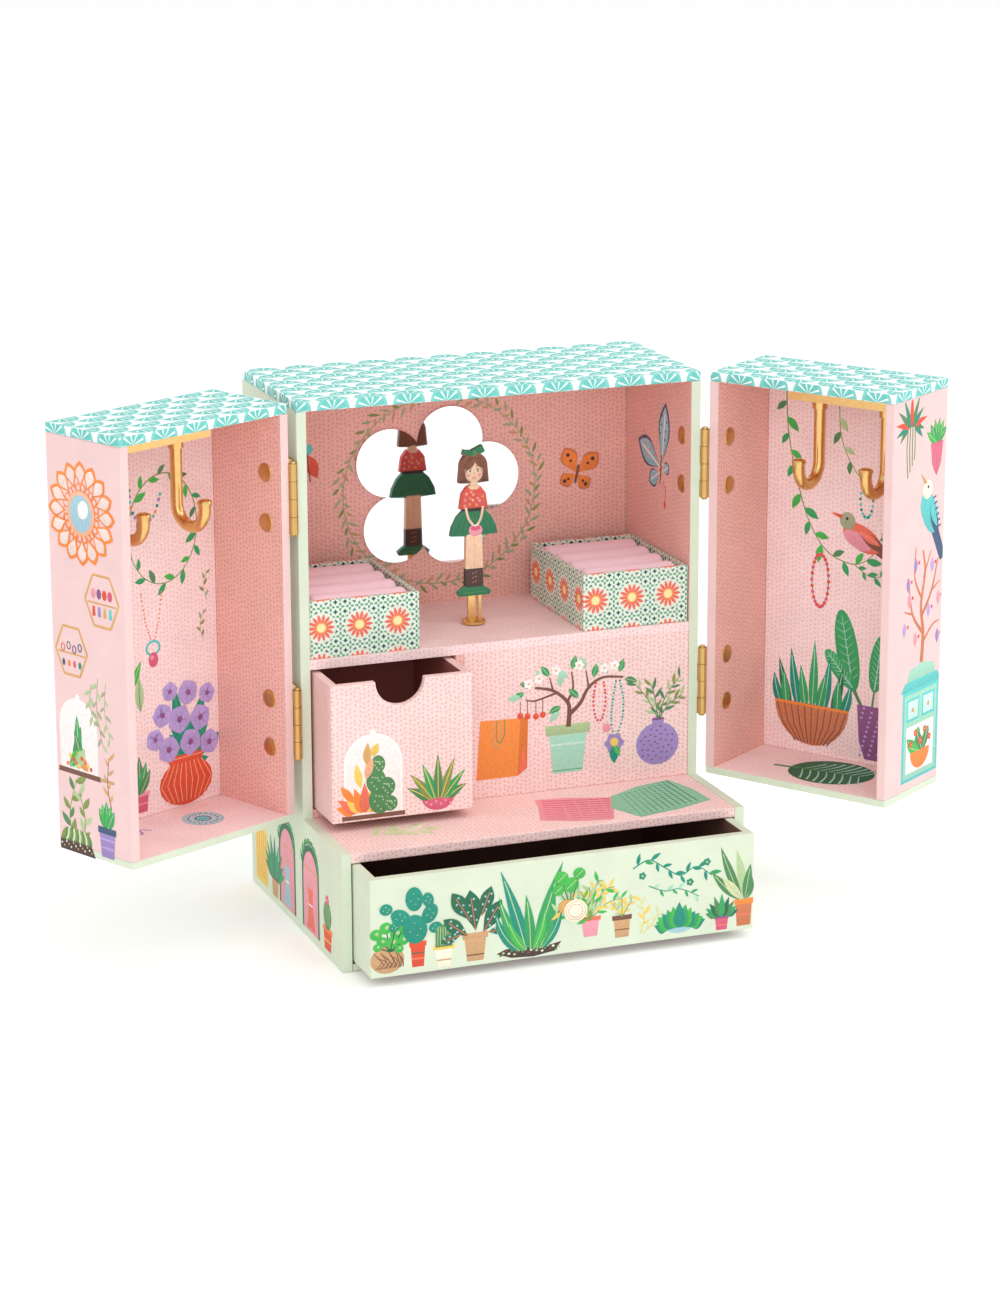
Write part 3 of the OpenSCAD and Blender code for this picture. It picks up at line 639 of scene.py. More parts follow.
# Glass dome with a plant under it
def cloche(x, y, width, height):
    arch = [(x - width / 2, y), (x - width / 2, y + height - width / 2)]
    arch += [around(x, y + height - width / 2, -width / 2, width / 2, pi * k / 12) for k in range(1, 12)]
    arch += [(x + width / 2, y + height - width / 2), (x + width / 2, y)]
    shape("glassHaze", arch, 0.5, 0.6)
    line("white", arch, 0.7)
    disc("white", x, y + height + 0.8, 1.1, count=10)
    panel("brown", x - width * 0.56, y - 1.6, x + width * 0.56, y)


# Bird in profile, in lengths of its body from its middle
def bird(x, y, size, turn, back, front, head, tail, bill):
    def spot(a, b):
        r = radians(turn)
        return (x + size * (a * cos(r) - b * sin(r)), y + size * (a * sin(r) + b * cos(r)))
    shape(tail, [spot(0.35, 0.12), spot(0.35, -0.14), spot(1.15, -0.16), spot(1.2, 0.04)])
    disc(back, *spot(0, 0), size * 0.5, size * 0.27, turn)
    disc(front, *spot(-0.08, -0.1), size * 0.36, size * 0.17, turn)
    disc(head, *spot(-0.46, 0.16), size * 0.19)
    shape(bill, [spot(-0.6, 0.22), spot(-0.62, 0.12), spot(-0.9, 0.12)])
    disc("black", *spot(-0.49, 0.2), size * 0.035, count=8)
    leaf(tail, *spot(-0.1, 0.1), turn - 6, size * 0.78, size * 0.26)
    leaf(back, *spot(-0.1, 0.1), turn - 2, size * 0.56, size * 0.18, vein=front)


# The page's shapes become thin closed plates a few hundredths of a millimetre apart
printLook = {"first": 0.04, "step": 0.012, "most": 0.34, "sunk": 0.03}  # thickness of the ink layers, mm


def clipped(outline, edges):
    for axis, limit, keep in ((0, edges[0], 1), (0, edges[2], -1), (1, edges[1], 1), (1, edges[3], -1)):
        kept = []
        for k, here in enumerate(outline):
            last = outline[k - 1]
            inHere, inLast = (here[axis] - limit) * keep >= 0, (last[axis] - limit) * keep >= 0
            if inHere != inLast:
                part = (limit - last[axis]) / (here[axis] - last[axis])
                kept.append((last[0] + part * (here[0] - last[0]), last[1] + part * (here[1] - last[1])))
            if inHere:
                kept.append(here)
        outline = kept
    return outline


# Cuts each ink shape to the board, lifts it a little over the one before, and gives it a thin edge
def makePrint(name, where, body, slotName, edges=None):
    origin = Vector(where(0, 0, 0))
    acrossUp = (Vector(where(1, 0, 0)) - origin).cross(Vector(where(0, 1, 0)) - origin)
    flip = acrossUp.dot(Vector(where(0, 0, 1)) - origin) < 0  # keeps the faces outward on a mirrored board
    layers = []
    for ink, outline, low, high in page:
        outline = clipped(outline, edges) if edges else outline
        if len(outline) < 3:
            continue
        xs, ys = [p[0] for p in outline], [p[1] for p in outline]
        area = (min(xs), min(ys), max(xs), max(ys))
        under = [layer[5] for layer in layers if layer[4][0] < area[2] and layer[4][2] > area[0]
                 and layer[4][1] < area[3] and layer[4][3] > area[1]]
        layers.append((ink, outline, low, high, area, max(under, default=-1) + 1))
    step = min(printLook["step"], printLook["most"] / (1 + max(layer[5] for layer in layers)))
    points, faces, matIndex, shades, used = [], [], [], [], []
    for ink, outline, low, high, area, rank in layers:
        if ink not in used:
            used.append(ink)
        turn = sum(outline[k - 1][0] * outline[k][1] - outline[k][0] * outline[k - 1][1]
            for k in range(len(outline)))
        ring = outline if (turn > 0) != flip else outline[::-1]
        lift = printLook["first"] + step * rank
        start, count = len(points), len(ring)
        ys = [p[1] for p in ring]
        for height in (-printLook["sunk"], lift):
            for a, b in ring:
                points.append(where(a, b, height))
                shades.append(low + (high - low) * (b - min(ys)) / ((max(ys) - min(ys)) or 1))
        faces.append([start + count + k for k in range(count)])
        faces.append([start + k for k in range(count)][::-1])
        faces += [[start + k, start + (k + 1) % count, start + count + (k + 1) % count, start + count + k]
                  for k in range(count)]
        matIndex += [used.index(ink)] * (count + 2)
    mesh = bpy.data.meshes.new(name)
    mesh.from_pydata([tuple(c * mm for c in p) for p in points], [], faces)
    for ink in used:
        mesh.materials.append(inkMaterial(ink))
    mesh.polygons.foreach_set("material_index", matIndex)
    mesh.attributes.new("shade", "FLOAT", "POINT").data.foreach_set("value", shades)
    mesh.update()
    piece = bpy.data.objects.new(name, mesh)
    bpy.context.scene.collection.objects.link(piece)
    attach(piece, body)
    page.clear()


# Places on the boards: across, up and out of the face
def frontPlace(node):
    y = lowMm(node)[1]
    return lambda a, b, c: (a, y - c, b)


def leftwardPlace(x):
    return lambda a, b, c: (x - c, a, b)


# The faces of a closed door, measured from the cupboard's outer side and the open front:
# where a picture lies, its limits on the board, and its colour slot
doorFaces = {
    "inside": (lambda a, b, c: (a, 34.5 - c, b), (4, 46, 71, 187.5), "pink_paper"),
    "floor": (lambda a, b, c: (a, b, 45.5 + c), (4, 1, 71, 34), "pink_paper"),
    "edge": (lambda a, b, c: (74.5 + c, a, b), (0.6, 42.6, 37.4, 187.4), "pink_paper"),
    "outside": (lambda a, b, c: (a, 38 + c, b), (0.8, 42.8, 73.8, 187.2), "pale_pink_paper"),
}


def printOnDoor(name, door, faceName):
    face, edges, slotName = doorFaces[faceName]
    turn, pin = doorTurn(door)
    swing = Matrix.Rotation(turn, 3, "Z")
    side = -1 if door == "left_door" else 1

    def where(a, b, c):
        u, v, z = face(a, b, c)
        closed = Vector((side * (boxDoor["outerSide"] - u), boxDoor["openFront"] - v, z)) - pin * 1000
        return tuple(swing @ closed + pin * 1000)
    makePrint(name, where, door, slotName, edges)


# Lower drawer's front: a row of pot plants, and a plain sprig at the right
disc("tan", -65, 9.6, 6.1, 4.9)
for k in range(12):
    straw = [(-70 + k * 0.9, 12.4 - (k % 3)), (-67 + k * 0.7, 9 - k % 2), (-69.4 + k * 0.9, 6.6)]
    line("brown", bend(straw, 3), 0.3)
for x, y, r in ((-69, 19, 2.2), (-65.4, 21, 2.3), (-61.5, 18.6, 2.4), (-58.8, 20.8, 2.1), (-66.8, 16.2, 2.0),
        (-63, 15.6, 2.4), (-59.2, 16.2, 2.0), (-61.4, 23.2, 1.8), (-68.6, 14.4, 1.5), (-60.8, 13.2, 1.6)):
    line("darkGreen", [(-64, 12.5), (x, y)], 0.4)
    disc("freshGreen", x, y, r, r * 0.92)
    disc("paleLeaf", x + 0.3, y + 0.3, r * 0.3)
pot("redOrange", -54, 5.8, 5.4, 4.2, 8.6, "redOrange", (("coral", 0.3, 0.7), ("darkGreen", 0.55, 0.4)))
for x, y, rx, ry, turn in ((-55, 19.4, 4.4, 5.2, 10), (-60.2, 24.2, 3.6, 2.7, -28),
        (-55.2, 30.2, 3.1, 4.3, 4), (-65.3, 27.6, 2.3, 2.0, 0), (-49.6, 24.4, 2.6, 3.6, -30),
        (-47.6, 19.2, 2.4, 1.9, 10), (-50.2, 29.4, 2.0, 2.6, 12), (-62.4, 21.0, 1.9, 1.5, 30)):
    disc("deepTeal", x, y, rx, ry, turn)
    for k in range(4):
        disc("paleLeaf", *around(x, y, rx * 0.45, ry * 0.45, k * 1.7), 0.22, count=6)
pot("cream", -44.6, 4.6, 6.8, 4.6, 7.4, "yellow", (("tan", 0.3, 0.5),))
shape("moss", [(-47.6, 11.9), (-41.6, 11.9), (-42, 18.4), (-43.6, 19.8), (-46, 19.6), (-47.5, 17.8)])
for k in range(6):
    line("paleLeaf", [(-47 + k * 0.98, 12.4), (-46.7 + k * 0.86, 19)], 0.26)
pot("tan", -33.2, 5.2, 8.2, 6, 9.6, "tan", (("brown", 0.2, 0.5),))
for x, y, angle, size in ((-33, 16, 98, 15), (-36, 14.6, 142, 11), (-30.4, 15, 58, 13),
        (-38.6, 15.4, 196, 7.6), (-28.6, 15, 4, 7), (-35, 20, 122, 12.4), (-31, 21, 70, 11)):
    leaf("darkGreen", x, y, angle, size, size * 0.46, belly=1.25)
    rad = radians(angle)
    for k in range(5):
        far, off = size * (0.25 + 0.13 * k), (0.9 if k % 2 else -0.9)
        disc("paleBlue", *around(*around(x, y, far, far, rad), off, off, rad + pi / 2), 0.42, count=7)
    line("coral", [(x, y), around(x, y, size * 0.8, size * 0.8, rad)], 0.24)
shape("darkBrown", [(-25.5, 6.4), (-20, 4.4), (-12, 3.9), (-4, 5), (-1.6, 8.2), (-6, 7.4), (-14, 7.6),
    (-22, 7.8)])
for k in range(22):
    disc(("moss", "paleLeaf", "brown", "cream")[k % 4], -24 + k * 1.02, 5.6 + (k * 7 % 5) * 0.42, 0.55, 0.4,
        count=7)
for x, angle, size, width, curl, ink in ((-17, 146, 18, 3.6, -46, "deepTeal"),
        (-9, 40, 18, 3.4, 44, "deepTeal"), (-16, 124, 22, 4.2, -20, "leafGreen"),
        (-9.6, 62, 22, 4, 24, "leafGreen"), (-14.6, 104, 31, 4.6, 6, "deepTeal"),
        (-10.6, 78, 32, 4.8, -10, "leafGreen"), (-13, 90, 20, 4, 8, "leafGreen"),
        (-12, 56, 15, 3, 30, "freshGreen"), (-15, 134, 13, 3, -28, "freshGreen")):
    leaf(ink, x, 6.6, angle, size, width, curl, belly=0.66, vein="paleLeaf")
pot("pink", 9.2, 8.4, 6.8, 5, 6.8, "coral")
for k in range(7):
    a = 24 + k * 23
    tip = (9.2 + 13 * cos(radians(a)), 15.6 + 15 * sin(radians(a)) * (0.72 if a > 90 else 0.9))
    stalk = [(9.2, 14.6), ((9.2 + tip[0]) / 2, tip[1] - 1.5), tip]
    sprig("olive", ("freshGreen", "yellow", "paleLeaf"), stalk, 3.8, 1.0, 0.3, 0.4, 52)
for x, y, r in ((-1.6, 31, 2.6), (2, 28.2, 2.9), (-2.8, 26.8, 2.2), (5, 32, 2.2)):
    line("moss", [(1.6, 20), (x, y)], 0.4)
    disc("freshGreen", x, y, r, r * 0.9)
    line("paleLeaf", [(x - r * 0.6, y - r * 0.5), (x + r * 0.6, y + r * 0.5)], 0.3)
disc("gold", 0.6, 20.4, 3.4, 2.6)
disc("cream", 3.6, 18.6, 4.4, 4.1)
hoop("tan", 3.6, 18.6, 2.6, 2.4, 0.25)
hoop("tan", 3.6, 18.6, 3.6, 3.3, 0.2)
pot("tan", 21, 6.6, 6.4, 5, 7.6, "brown", (("brown", 0.35, 0.4),))
for x, size in ((19, 5), (21, 7), (23, 5.6)):
    sprig("olive", ("paleLeaf", "yellow"), [(21, 14), (x, 14 + size * 0.6), (x + (x - 21) * 0.8, 14 + size)],
        2.4, 1.1, 0.4, 0.3)
sprig("yellow", ("paleFrond", "yellow"), [(28, 7), (29.4, 13), (27.6, 20)], 3.6, 1.4, 0.35, 0.35)
sprig("yellow", ("paleFrond",), [(29, 7), (32.4, 10), (35, 15)], 2.8, 1.4, 0.35, 0.3)
bowl("paleBlue", 42.6, 5.4, 12, 3.4)
aloe(("deepTeal", "leafGreen", "freshGreen"), 42.6, 7.4, 66, 9, 4.6, 13, 10)
sprig("deepTeal", ("deepTeal", "leafGreen"), [(25, 31), (31, 33.5), (37, 30), (43, 26.5), (49, 29), (55, 25)],
    4.2, 2.0, 0.34, 0.5)
sprig("deepTeal", ("leafGreen", "mint"), [(31, 24), (37, 21.5), (43, 21.5), (50, 18)], 3.2, 1.9, 0.34, 0.4)
for x, y in ((28.6, 28), (46.6, 23.6), (53, 30.2)):
    bloom("deepTeal", x, y, 1.5, 5, "yellow")
pot("terracotta", 67.2, 5, 6.4, 5.2, 9.4, "orange", (("coral", 0.4, 0.5),))
for x, angle, size, curl, ink in ((66.6, 118, 22, -10, "moss"), (67.4, 94, 19, 10, "paleLeaf"),
        (66, 142, 16, -14, "moss"), (68, 66, 9, 20, "moss"), (66.6, 130, 12, 0, "paleFrond"),
        (67.4, 80, 13, 0, "moss")):
    leaf(ink, x, 14.6, angle, size, 3.3, curl, belly=0.9, vein="paleLeaf")
pot("rose", 58.8, 4.4, 5.2, 4, 5, "plum", (("coral", 0.3, 0.5),))
aloe(("moss", "leafGreen", "darkGreen"), 58.8, 9.4, 60, 8.2, 2.4, 9, 14)
makePrint("lowerDrawerPicture", frontPlace("lower_drawer_front"), "lower_drawer", "mint_print")


# Upper drawer's front: a glass dome and a striped aloe
cloche(-55.4, 48.2, 20.6, 28.6)
aloe(("orange", "coral", "yellow"), -58.6, 49, 58, 12, 4, 9, 20)
for x, y, rx, ry in ((-53, 53, 4.2, 5), (-54.4, 60, 3.6, 4.4), (-50.4, 57.6, 3, 3.4), (-53.6, 66, 2.6, 3.2),
        (-49.4, 51.4, 2.8, 2.8)):
    disc("moss", x, y, rx, ry)
    for k in range(9):
        far = 0.68 * (0.4 + k % 3 * 0.3)
        disc("paleLeaf", *around(x, y, rx * far, ry * far, k * 2.4), 0.34, count=6)
for x, y, angle, size, ink in ((-60, 58, 104, 9, "yellow"), (-57.6, 66, 92, 8, "gold"),
        (-62.4, 53, 132, 8, "orange"), (-55.6, 69, 70, 5, "yellow"), (-58, 61, 76, 8, "peach")):
    leaf(ink, x, y, angle, size, 2.9, -8)
bowl("rose", -31.6, 46.8, 12.4, 5.2)
for k in range(6):
    disc("pink", -36 + k * 1.8, 50 - (k % 2), 0.5, count=7)
aloe(("moss", "olive", "leafGreen"), -31.6, 51, 50, 17, 3.3, 7, 16, "yellow")
makePrint("upperDrawerPicture", frontPlace("upper_drawer_front"), "upper_drawer", "fan_paper")


# Panel beside the small drawer: a bag, a tree hung with beads, a spotted vase
shape("bagOrange", [(-10.4, 49.4), (5.4, 49.4), (6.4, 70.8), (-8.8, 71.2)])
shape("bagShade", [(5.4, 49.4), (9, 52), (9.4, 71.2), (6.4, 70.8)])
shape("coral", [(5.4, 49.4), (9, 52), (7.6, 60)])
line("tan", bend([(-3.6, 70.6), (-3.8, 63), (-2.4, 60.4), (-0.8, 63), (-0.9, 70.6)], 6), 0.5)
line("olive", bend([(-2.4, 70.8), (-2.7, 64.6), (-1.6, 62.6), (0.3, 65), (0.4, 70.8)], 6), 0.4)
pot("mint", 24.6, 48.6, 15, 11.4, 17, "paleLeaf", (("leafGreen", 0.05, 0.3), ("paleTeal", 0.6, 0.8)))
for path, wide in (([(24.8, 65.6), (25.2, 71), (24.4, 75), (19, 79.6), (12, 81.4)], 1.9),
                   ([(25, 70), (29.4, 74), (32.6, 79.4), (38, 82.6), (46, 82)], 1.6),
                   ([(24.4, 75), (26.6, 79.6), (26, 86)], 1.1), ([(19, 79.6), (17.6, 84.6)], 0.8),
                   ([(32.6, 79.4), (31.6, 86)], 0.8), ([(20, 78.6), (12, 76.6), (8.4, 77.4)], 0.8)):
    line("brown", bend(path, 6), wide, wide * 0.45)
for x, y, angle, ink in ((11, 81.6, 150, "moss"), (8, 80, 200, "leafGreen"), (14, 83, 96, "mint"),
        (17.4, 85, 120, "leafGreen"), (21.4, 81, 76, "mint"), (26, 87, 64, "leafGreen"),
        (24.6, 84, 142, "mint"), (31.4, 86.6, 108, "mint"), (34.4, 83, 70, "leafGreen"),
        (40, 84, 118, "mint"), (44.4, 84, 64, "leafGreen"), (46.6, 81.4, -24, "moss"),
        (28.6, 76, 128, "leafGreen"), (22, 73.4, 196, "leafGreen"), (21.4, 71.6, 214, "mint"),
        (6.6, 78.4, 176, "mint")):
    leaf(ink, x, y, angle, 5.2, 2.5, 14, vein="paleLeaf")
for x, y in ((13.6, 84.6), (29, 88), (38.6, 86), (42.6, 86.6), (9.6, 83), (20, 87)):
    bloom("white", x, y, 2.0, 5, "peach")
for k, (x, y) in enumerate(((6.4, 71.6), (9.2, 71.2), (12.4, 70.8), (15, 71.2))):
    line("brown", [(x, 77), (x, y)], 0.28)
    disc("redOrange", x, y, 1.15)
    disc("coral", x + 0.3, y + 0.3, 0.4, count=8)
beads(("redOrange", "rose"), [(35.4, 81), (34.4, 74), (35.6, 67.4), (37.8, 67.4), (39.2, 74), (38.4, 81)],
    0.5, 1.15)
for strand in ([(43.2, 81), (42, 74), (41.4, 66), (42.4, 60.6)],
               [(44.6, 81), (46, 74), (45.6, 66), (43.6, 60.6)]):
    beads(("deepTeal", "turquoise"), strand, 0.42, 1.0)
bloom("purple", 42.6, 57.6, 4, 6, "yellow")
leaf("deepTeal", 42.6, 57, -90, 7, 3.6)
leaf("freshGreen", 42.6, 57, -64, 5, 2, vein="paleLeaf")
disc("yellow", 42.6, 58, 1.6)
disc("pink", 39.6, 63.6, 1.7)
disc("purple", 59.5, 55.6, 8.4, 8)
shape("purple", [(57.6, 62), (61.6, 62), (62.2, 65), (57.2, 65)])
disc("plum", 59.7, 64.9, 2.5, 0.6)
for k in range(34):
    a, r = k * 2.4, 7.2 * sqrt(k / 34)
    disc("plum", *around(59.5, 55.5, r, r * 0.94, a), 0.52, 0.36, count=7)
for points in ([(59.6, 65), (56, 72), (50.6, 79)], [(59.8, 65), (62.6, 73), (68.4, 80.4)],
        [(59.6, 65), (58.6, 72), (57, 77.6)], [(60, 65), (64, 70), (69, 73)]):
    sprig("moss", ("moss", "olive", "paleLeaf"), points, 4.2, 1.3, 0.26, 0.4, 46, 2)
makePrint("cornerPicture", frontPlace("music_panel"), "cabinet", "pink_paper")


# Platform: two folded cloths and a pale leaf
shape("clothPink", [(8.5, -8.6), (20, -10.2), (35.2, -15.5), (31, -28), (26.6, -39), (14, -36.5), (1.9, -31),
    (6, -19)], 0.55, 0.8)
for k in range(9):
    fold = [(4.6 + k * 0.7, -30 + k * 2.4), (14 + k * 0.6, -32.6 + k * 2.4), (26.6 + k * 0.9, -36 + k * 2.4)]
    line("rose", bend(fold, 6), 0.5)
    for j in range(5):
        disc("pink", 8 + j * 4.6 + k * 0.5, -31 + k * 2.35 - j * 1.1, 0.45, count=7)
shape("clothGreen", [(35.2, -15), (48, -7.6), (62, -4), (66, -17), (67, -30.6), (52, -36.6), (36.4, -40),
    (30.6, -27)], 0.45, 0.7)
for k in range(11):
    line("mint", [(34.6 + k * 0.14, -38 + k * 2.3), (64.6 - k * 0.2, -29.6 + k * 2.3)], 0.32)
    line("moss", [(37 + k * 2.5, -38.6 + k * 0.8), (39 + k * 2.2, -14 + k * 0.86)], 0.32)
sprig("paleFrond", ("paleFrond", "cream"), [(-60, -27), (-50, -24), (-38, -27)], 8, 2.6, 0.36, 0.5)
sprig("paleFrond", ("paleFrond",), [(-58, -22), (-48, -20), (-38, -22)], 6, 2.8, 0.36, 0.5)
platformHigh = highMm("platform_board")[2]
makePrint("platformPicture", lambda a, b, c: (a, b, platformHigh + c), "cabinet", "pink_paper")


# Back wall: leaf wreath round the mirror, butterflies
wreath = (-2.0, 142.0)  # its middle
for k in range(120):
    a = 2 * pi * k / 120
    r = 36.2 + 1.2 * sin(a * 9)
    lean = degrees(a) + 90 + (44 if k % 2 else -44)
    leaf(("greyGreen", "greyGreen", "olive", "tan")[k % 4], *around(*wreath, r * 1.04, r * 0.98, a), lean,
        random.uniform(3.2, 5.2), 1.15, 10)
hoop("greyGreen", *wreath, 37.2, 35, 0.4, 60)
butterfly(51.8, 143.6, 11.4, -12, "orange", "terracotta", "darkBrown")
shape("turquoise", [(-54, 160.8), (-51.6, 163.4), (-50, 161), (-51.6, 158.8)])
leaf("redOrange", -52.6, 159, -70, 9.6, 5.2, 8)
leaf("coral", -52, 158.6, -112, 7, 3.6)
line("darkBrown", [(-52.4, 159.4), (-51.4, 149)], 0.4)
makePrint("backWallPicture", frontPlace("back_panel"), "cabinet", "fan_paper")

for x, y, angle, length, width in ((27, 151, 18, 22, 11), (26, 152, 98, 24, 10), (28, 149, -28, 11, 7),
        (24.6, 150, 150, 6, 5)):
    leaf("navy", x, y, angle, length, width, belly=1.35)
    leaf("paleBlue", x, y, angle, length * 0.93, width * 0.8, belly=1.35, vein="white")
    for lean in (-15, 15):
        rad = radians(angle + lean)
        line("turquoise", [around(x, y, far, far, rad) for far in (4, length * 0.68)], 0.5, 0.2)
for k in range(7):
    disc("darkBrown", 23.2 - 0.4 * k + 4.6 * (k % 2), 162 + k * 1.7, 0.5, count=7)
    disc("coral", 33 + k * 1.9, 154.6 + k * 0.7 + 3.4 * (k % 2), 0.5, count=7)
line("brown", [(26, 156), (27.6, 145)], 1.3, 0.5)
line("redOrange", bend([(24.6, 146), (22.4, 143), (23, 139)], 5), 0.4)
disc("redOrange", 23, 138, 0.9, 1.4)
makePrint("rightWallPicture", leftwardPlace(lowMm("right_side_board")[0]), "cabinet", "fan_paper")


# Left door inside: a leafy ring with beads, a necklace, a vase of flowers, a pale ring on the floor
ring = [around(27.4, 147, 15.6, 19.4, radians(20 + 330 * k / 18)) for k in range(19)]
sprig("olive", ("leafGreen", "moss", "freshGreen"), ring, 5.4, 4.4, 0.42, 0.5, 50)
beads(("deepTeal", "purple", "turquoise", "orange"), [(42, 163), (40.8, 155), (36.6, 150.6), (31.4, 152),
    (27.8, 160)], 0.7, 1.7)
for k, ink in enumerate(("navy", "purple", "gold", "turquoise")):
    leaf(ink, 38.4 - k * 1.3, 152.4 - 0.6 * (k % 2), -90, 5.6 - 0.8 * (k % 2), 1.4)
for strand in ([(38, 126), (36.4, 116), (33.8, 108)], [(28.6, 125), (30.4, 115), (32.6, 108)]):
    beads(("coral", "gold"), strand, 0.4, 1.1)
hoop("turquoise", 33.2, 105.6, 3, 2.4, 0.9, 16)
disc("rose", 33.2, 101.4, 2.2, 2.7)
disc("pink", 33.8, 102.2, 0.8)
for x, y, angle, size in ((20, 62, 158, 19), (22, 62, 140, 17), (16, 62, 22, 14), (24, 60, 176, 15),
        (14, 62, 40, 17), (19, 64, 112, 24), (21, 66, 82, 24), (17, 64, 58, 20), (20, 62, 96, 18),
        (12, 60, 6, 9)):
    leaf("deepTeal", x, y, angle, size, 5.4, vein="leafGreen")
shape("redOrange", [(13, 60.6), (26.6, 60.6), (28.4, 64.4), (11.2, 64.4)])
disc("redOrange", 19.8, 54.4, 12.2, 8.4)
for k in range(9):
    w = -1 + 2 * k / 8
    line("peach", [(19.8 + w * 7.2, 61.6), (19.8 + w * 11.6, 54.4), (19.8 + w * 7.4, 47.4)], 0.32)
line("peach", [(11.6, 63.4), (28, 63.4)], 0.3)
for x, y, r in ((8.6, 66.6, 4.6), (17.4, 68.4, 5), (27.4, 67.6, 4.9), (33.6, 72.4, 4), (12.6, 76.4, 4.8),
        (22.2, 77.6, 5.2), (30, 80.6, 4.4), (18, 86.6, 4.6), (9.2, 84.6, 3.8), (26.2, 88.4, 3.6)):
    bloom("lilac", x, y, r, 5, "plum", 0.62, 12 * x)
    for k in range(5):
        line("purple", [around(x, y, far, far, radians(12 * x + 72 * k)) for far in (r * 0.24, r * 0.66)],
            0.4, 0.15)
leaf("moss", 47, 66, 98, 27, 4.2, -12, vein="paleLeaf")
leaf("freshGreen", 44, 69, 70, 15, 3.6, 16, vein="paleLeaf")
leaf("paleLeaf", 39.6, 84, 82, 12.6, 4, 12, vein="moss")
leaf("freshGreen", 43.4, 92, 108, 11, 3, 12, vein="paleLeaf")
pot("rose", 41, 47.6, 8, 6.4, 7, "pink", (("pink", 0.4, 0.6),))
tuft(("moss", "leafGreen"), 41, 54, 60, 15, 5, 14, 2.2)
for k, (x, y) in enumerate(((50, 118), (8, 118), (50, 104), (10, 104), (52, 176), (8, 178))):
    sprig("greyGreen", ("greyGreen", "olive"), [(x, y), (x + 1.4, y + 5), (x, y + 10)], 2.6, 1.6, 0.4, 0.25)
printOnDoor("leftDoorPicture", "left_door", "inside")

disc("paleBlue", 26, 19, 7.4, 7.4)
for k in range(18):
    a = radians(20 * k)
    line("white", [around(26, 19, 3.4, 3.4, a), around(26, 19, 6.8, 6.8, a + 0.2)], 0.35)
    disc("navy", *around(26, 19, 5.2, 5.2, a + 0.1), 0.4, count=6)
hoop("navy", 26, 19, 2.6, 2.6, 0.4)
disc("turquoise", 26, 19, 1.7)
line("purple", bend([(47, 22), (49.6, 25), (52, 21), (54.6, 24), (57, 21)], 5), 0.8)
printOnDoor("leftDoorFloorPicture", "left_door", "floor")


# Left door's meeting wall: sun mirror, small frames, a dome on a shelf, pot plants
sun = (20.6, 162.6)  # its middle
for k in range(16):
    a = k * 0.3927
    leaf("orange", *around(*sun, 7.6, 8.4, a), degrees(a), 9.4, 5.8, belly=1.5)
    leaf("shell", *around(*sun, 8.8, 9.6, a), degrees(a), 6.8, 4.2, belly=1.5)
for k in range(22):
    hoop("orange", *around(*sun, 8, 8.8, k * 0.2856), 1.3, 1.3, 0.4, 8)
disc("peach", *sun, 7, 7.8)
disc("paleBlue", *sun, 5.6, 6.4)
disc("white", 19.4, 164, 2.6, 3.2, 20)
for x, y, r, kind in ((11.6, 134, 9, 0), (28.2, 114, 8.6, 1)):
    hexagon = [around(x, y, r * 0.95, r * 1.12, radians(60 * k)) for k in range(6)]
    for k in range(6):
        line("gold", [hexagon[k - 1], hexagon[k]], 0.8)
    line("gold", [(x - r * 0.8, y - r * 0.1), (x + r * 0.8, y - r * 0.1)], 0.5)
    for j in range(4):
        if kind:
            hoop(("navy", "plum", "navy", "coral")[j], x - 4.4 + 2.9 * j, y + 1.8 - (j % 2), 0.9, 1.3, 0.4,
                10)
            disc(("deepTeal", "rose", "orange", "navy")[j], x - 4.2 + 2.8 * j, y - 4.4, 0.8, 1.3, count=8)
        else:
            disc(("rose", "redOrange", "plum", "pink")[j], x - 4.2 + 2.8 * j, y + 2.4, 1.2, 1.8, count=10)
            shape(("turquoise", "gold", "purple", "redOrange")[j], [(x - 5 + 2.8 * j, y - 5.4),
                (x - 3.4 + 2.8 * j, y - 5.4), (x - 3.6 + 2.8 * j, y - 2), (x - 4.8 + 2.8 * j, y - 2)])
line("tan", [(37, 71.6), (8, 71.6)], 1.1)
line("brown", [(37, 70.8), (15, 70.8)], 0.5)
cloche(26, 72.4, 19, 25)
for x, y, angle, size, ink in ((29, 73, 106, 16, "moss"), (26, 73, 88, 19, "leafGreen"),
        (23.4, 73, 70, 14, "moss"), (31, 73, 130, 10, "freshGreen"), (21.6, 73, 46, 8, "orange"),
        (27.4, 73, 120, 9, "paleLeaf")):
    leaf(ink, x, y, angle, size, 4, vein="paleLeaf")
for k in range(9):
    disc(("redOrange", "yellow", "coral")[k % 3], 20 + k * 1.5, 74 + (k * 5 % 4), 0.8, count=7)
for x, y, size in ((11, 86, 20), (15, 84, 23), (18.6, 90, 14)):
    sprig("greyGreen", ("paleLeaf", "greyGreen"), [(x, y + size), (x + 1, y + size * 0.5), (x - 1.4, y)], 3.6,
        1.9, 0.36, 0.3)
sprig("olive", ("olive", "moss"), [(30, 46), (32, 56), (28, 69)], 5.6, 2.4, 0.4, 0.5)
sprig("olive", ("olive", "paleLeaf"), [(26, 46), (24, 55), (26.6, 65)], 5, 2.4, 0.4, 0.5)
sprig("brown", ("tan", "gold"), [(10, 62), (11.6, 70), (10.6, 80)], 4, 2.2, 0.3, 0.4)
shape("darkBrown", [(19, 42.4), (39, 42.4), (36.6, 47.6), (22, 47.8)])
for k in range(14):
    leaf(("moss", "olive", "paleFrond")[k % 3], 21 + k * 1.2, 46, 66 + 4 * k, 5.4, 1.7)
    disc(("tan", "cream")[k % 2], 21 + k * 1.2, 44 + (k % 3) * 0.8, 0.4, count=6)
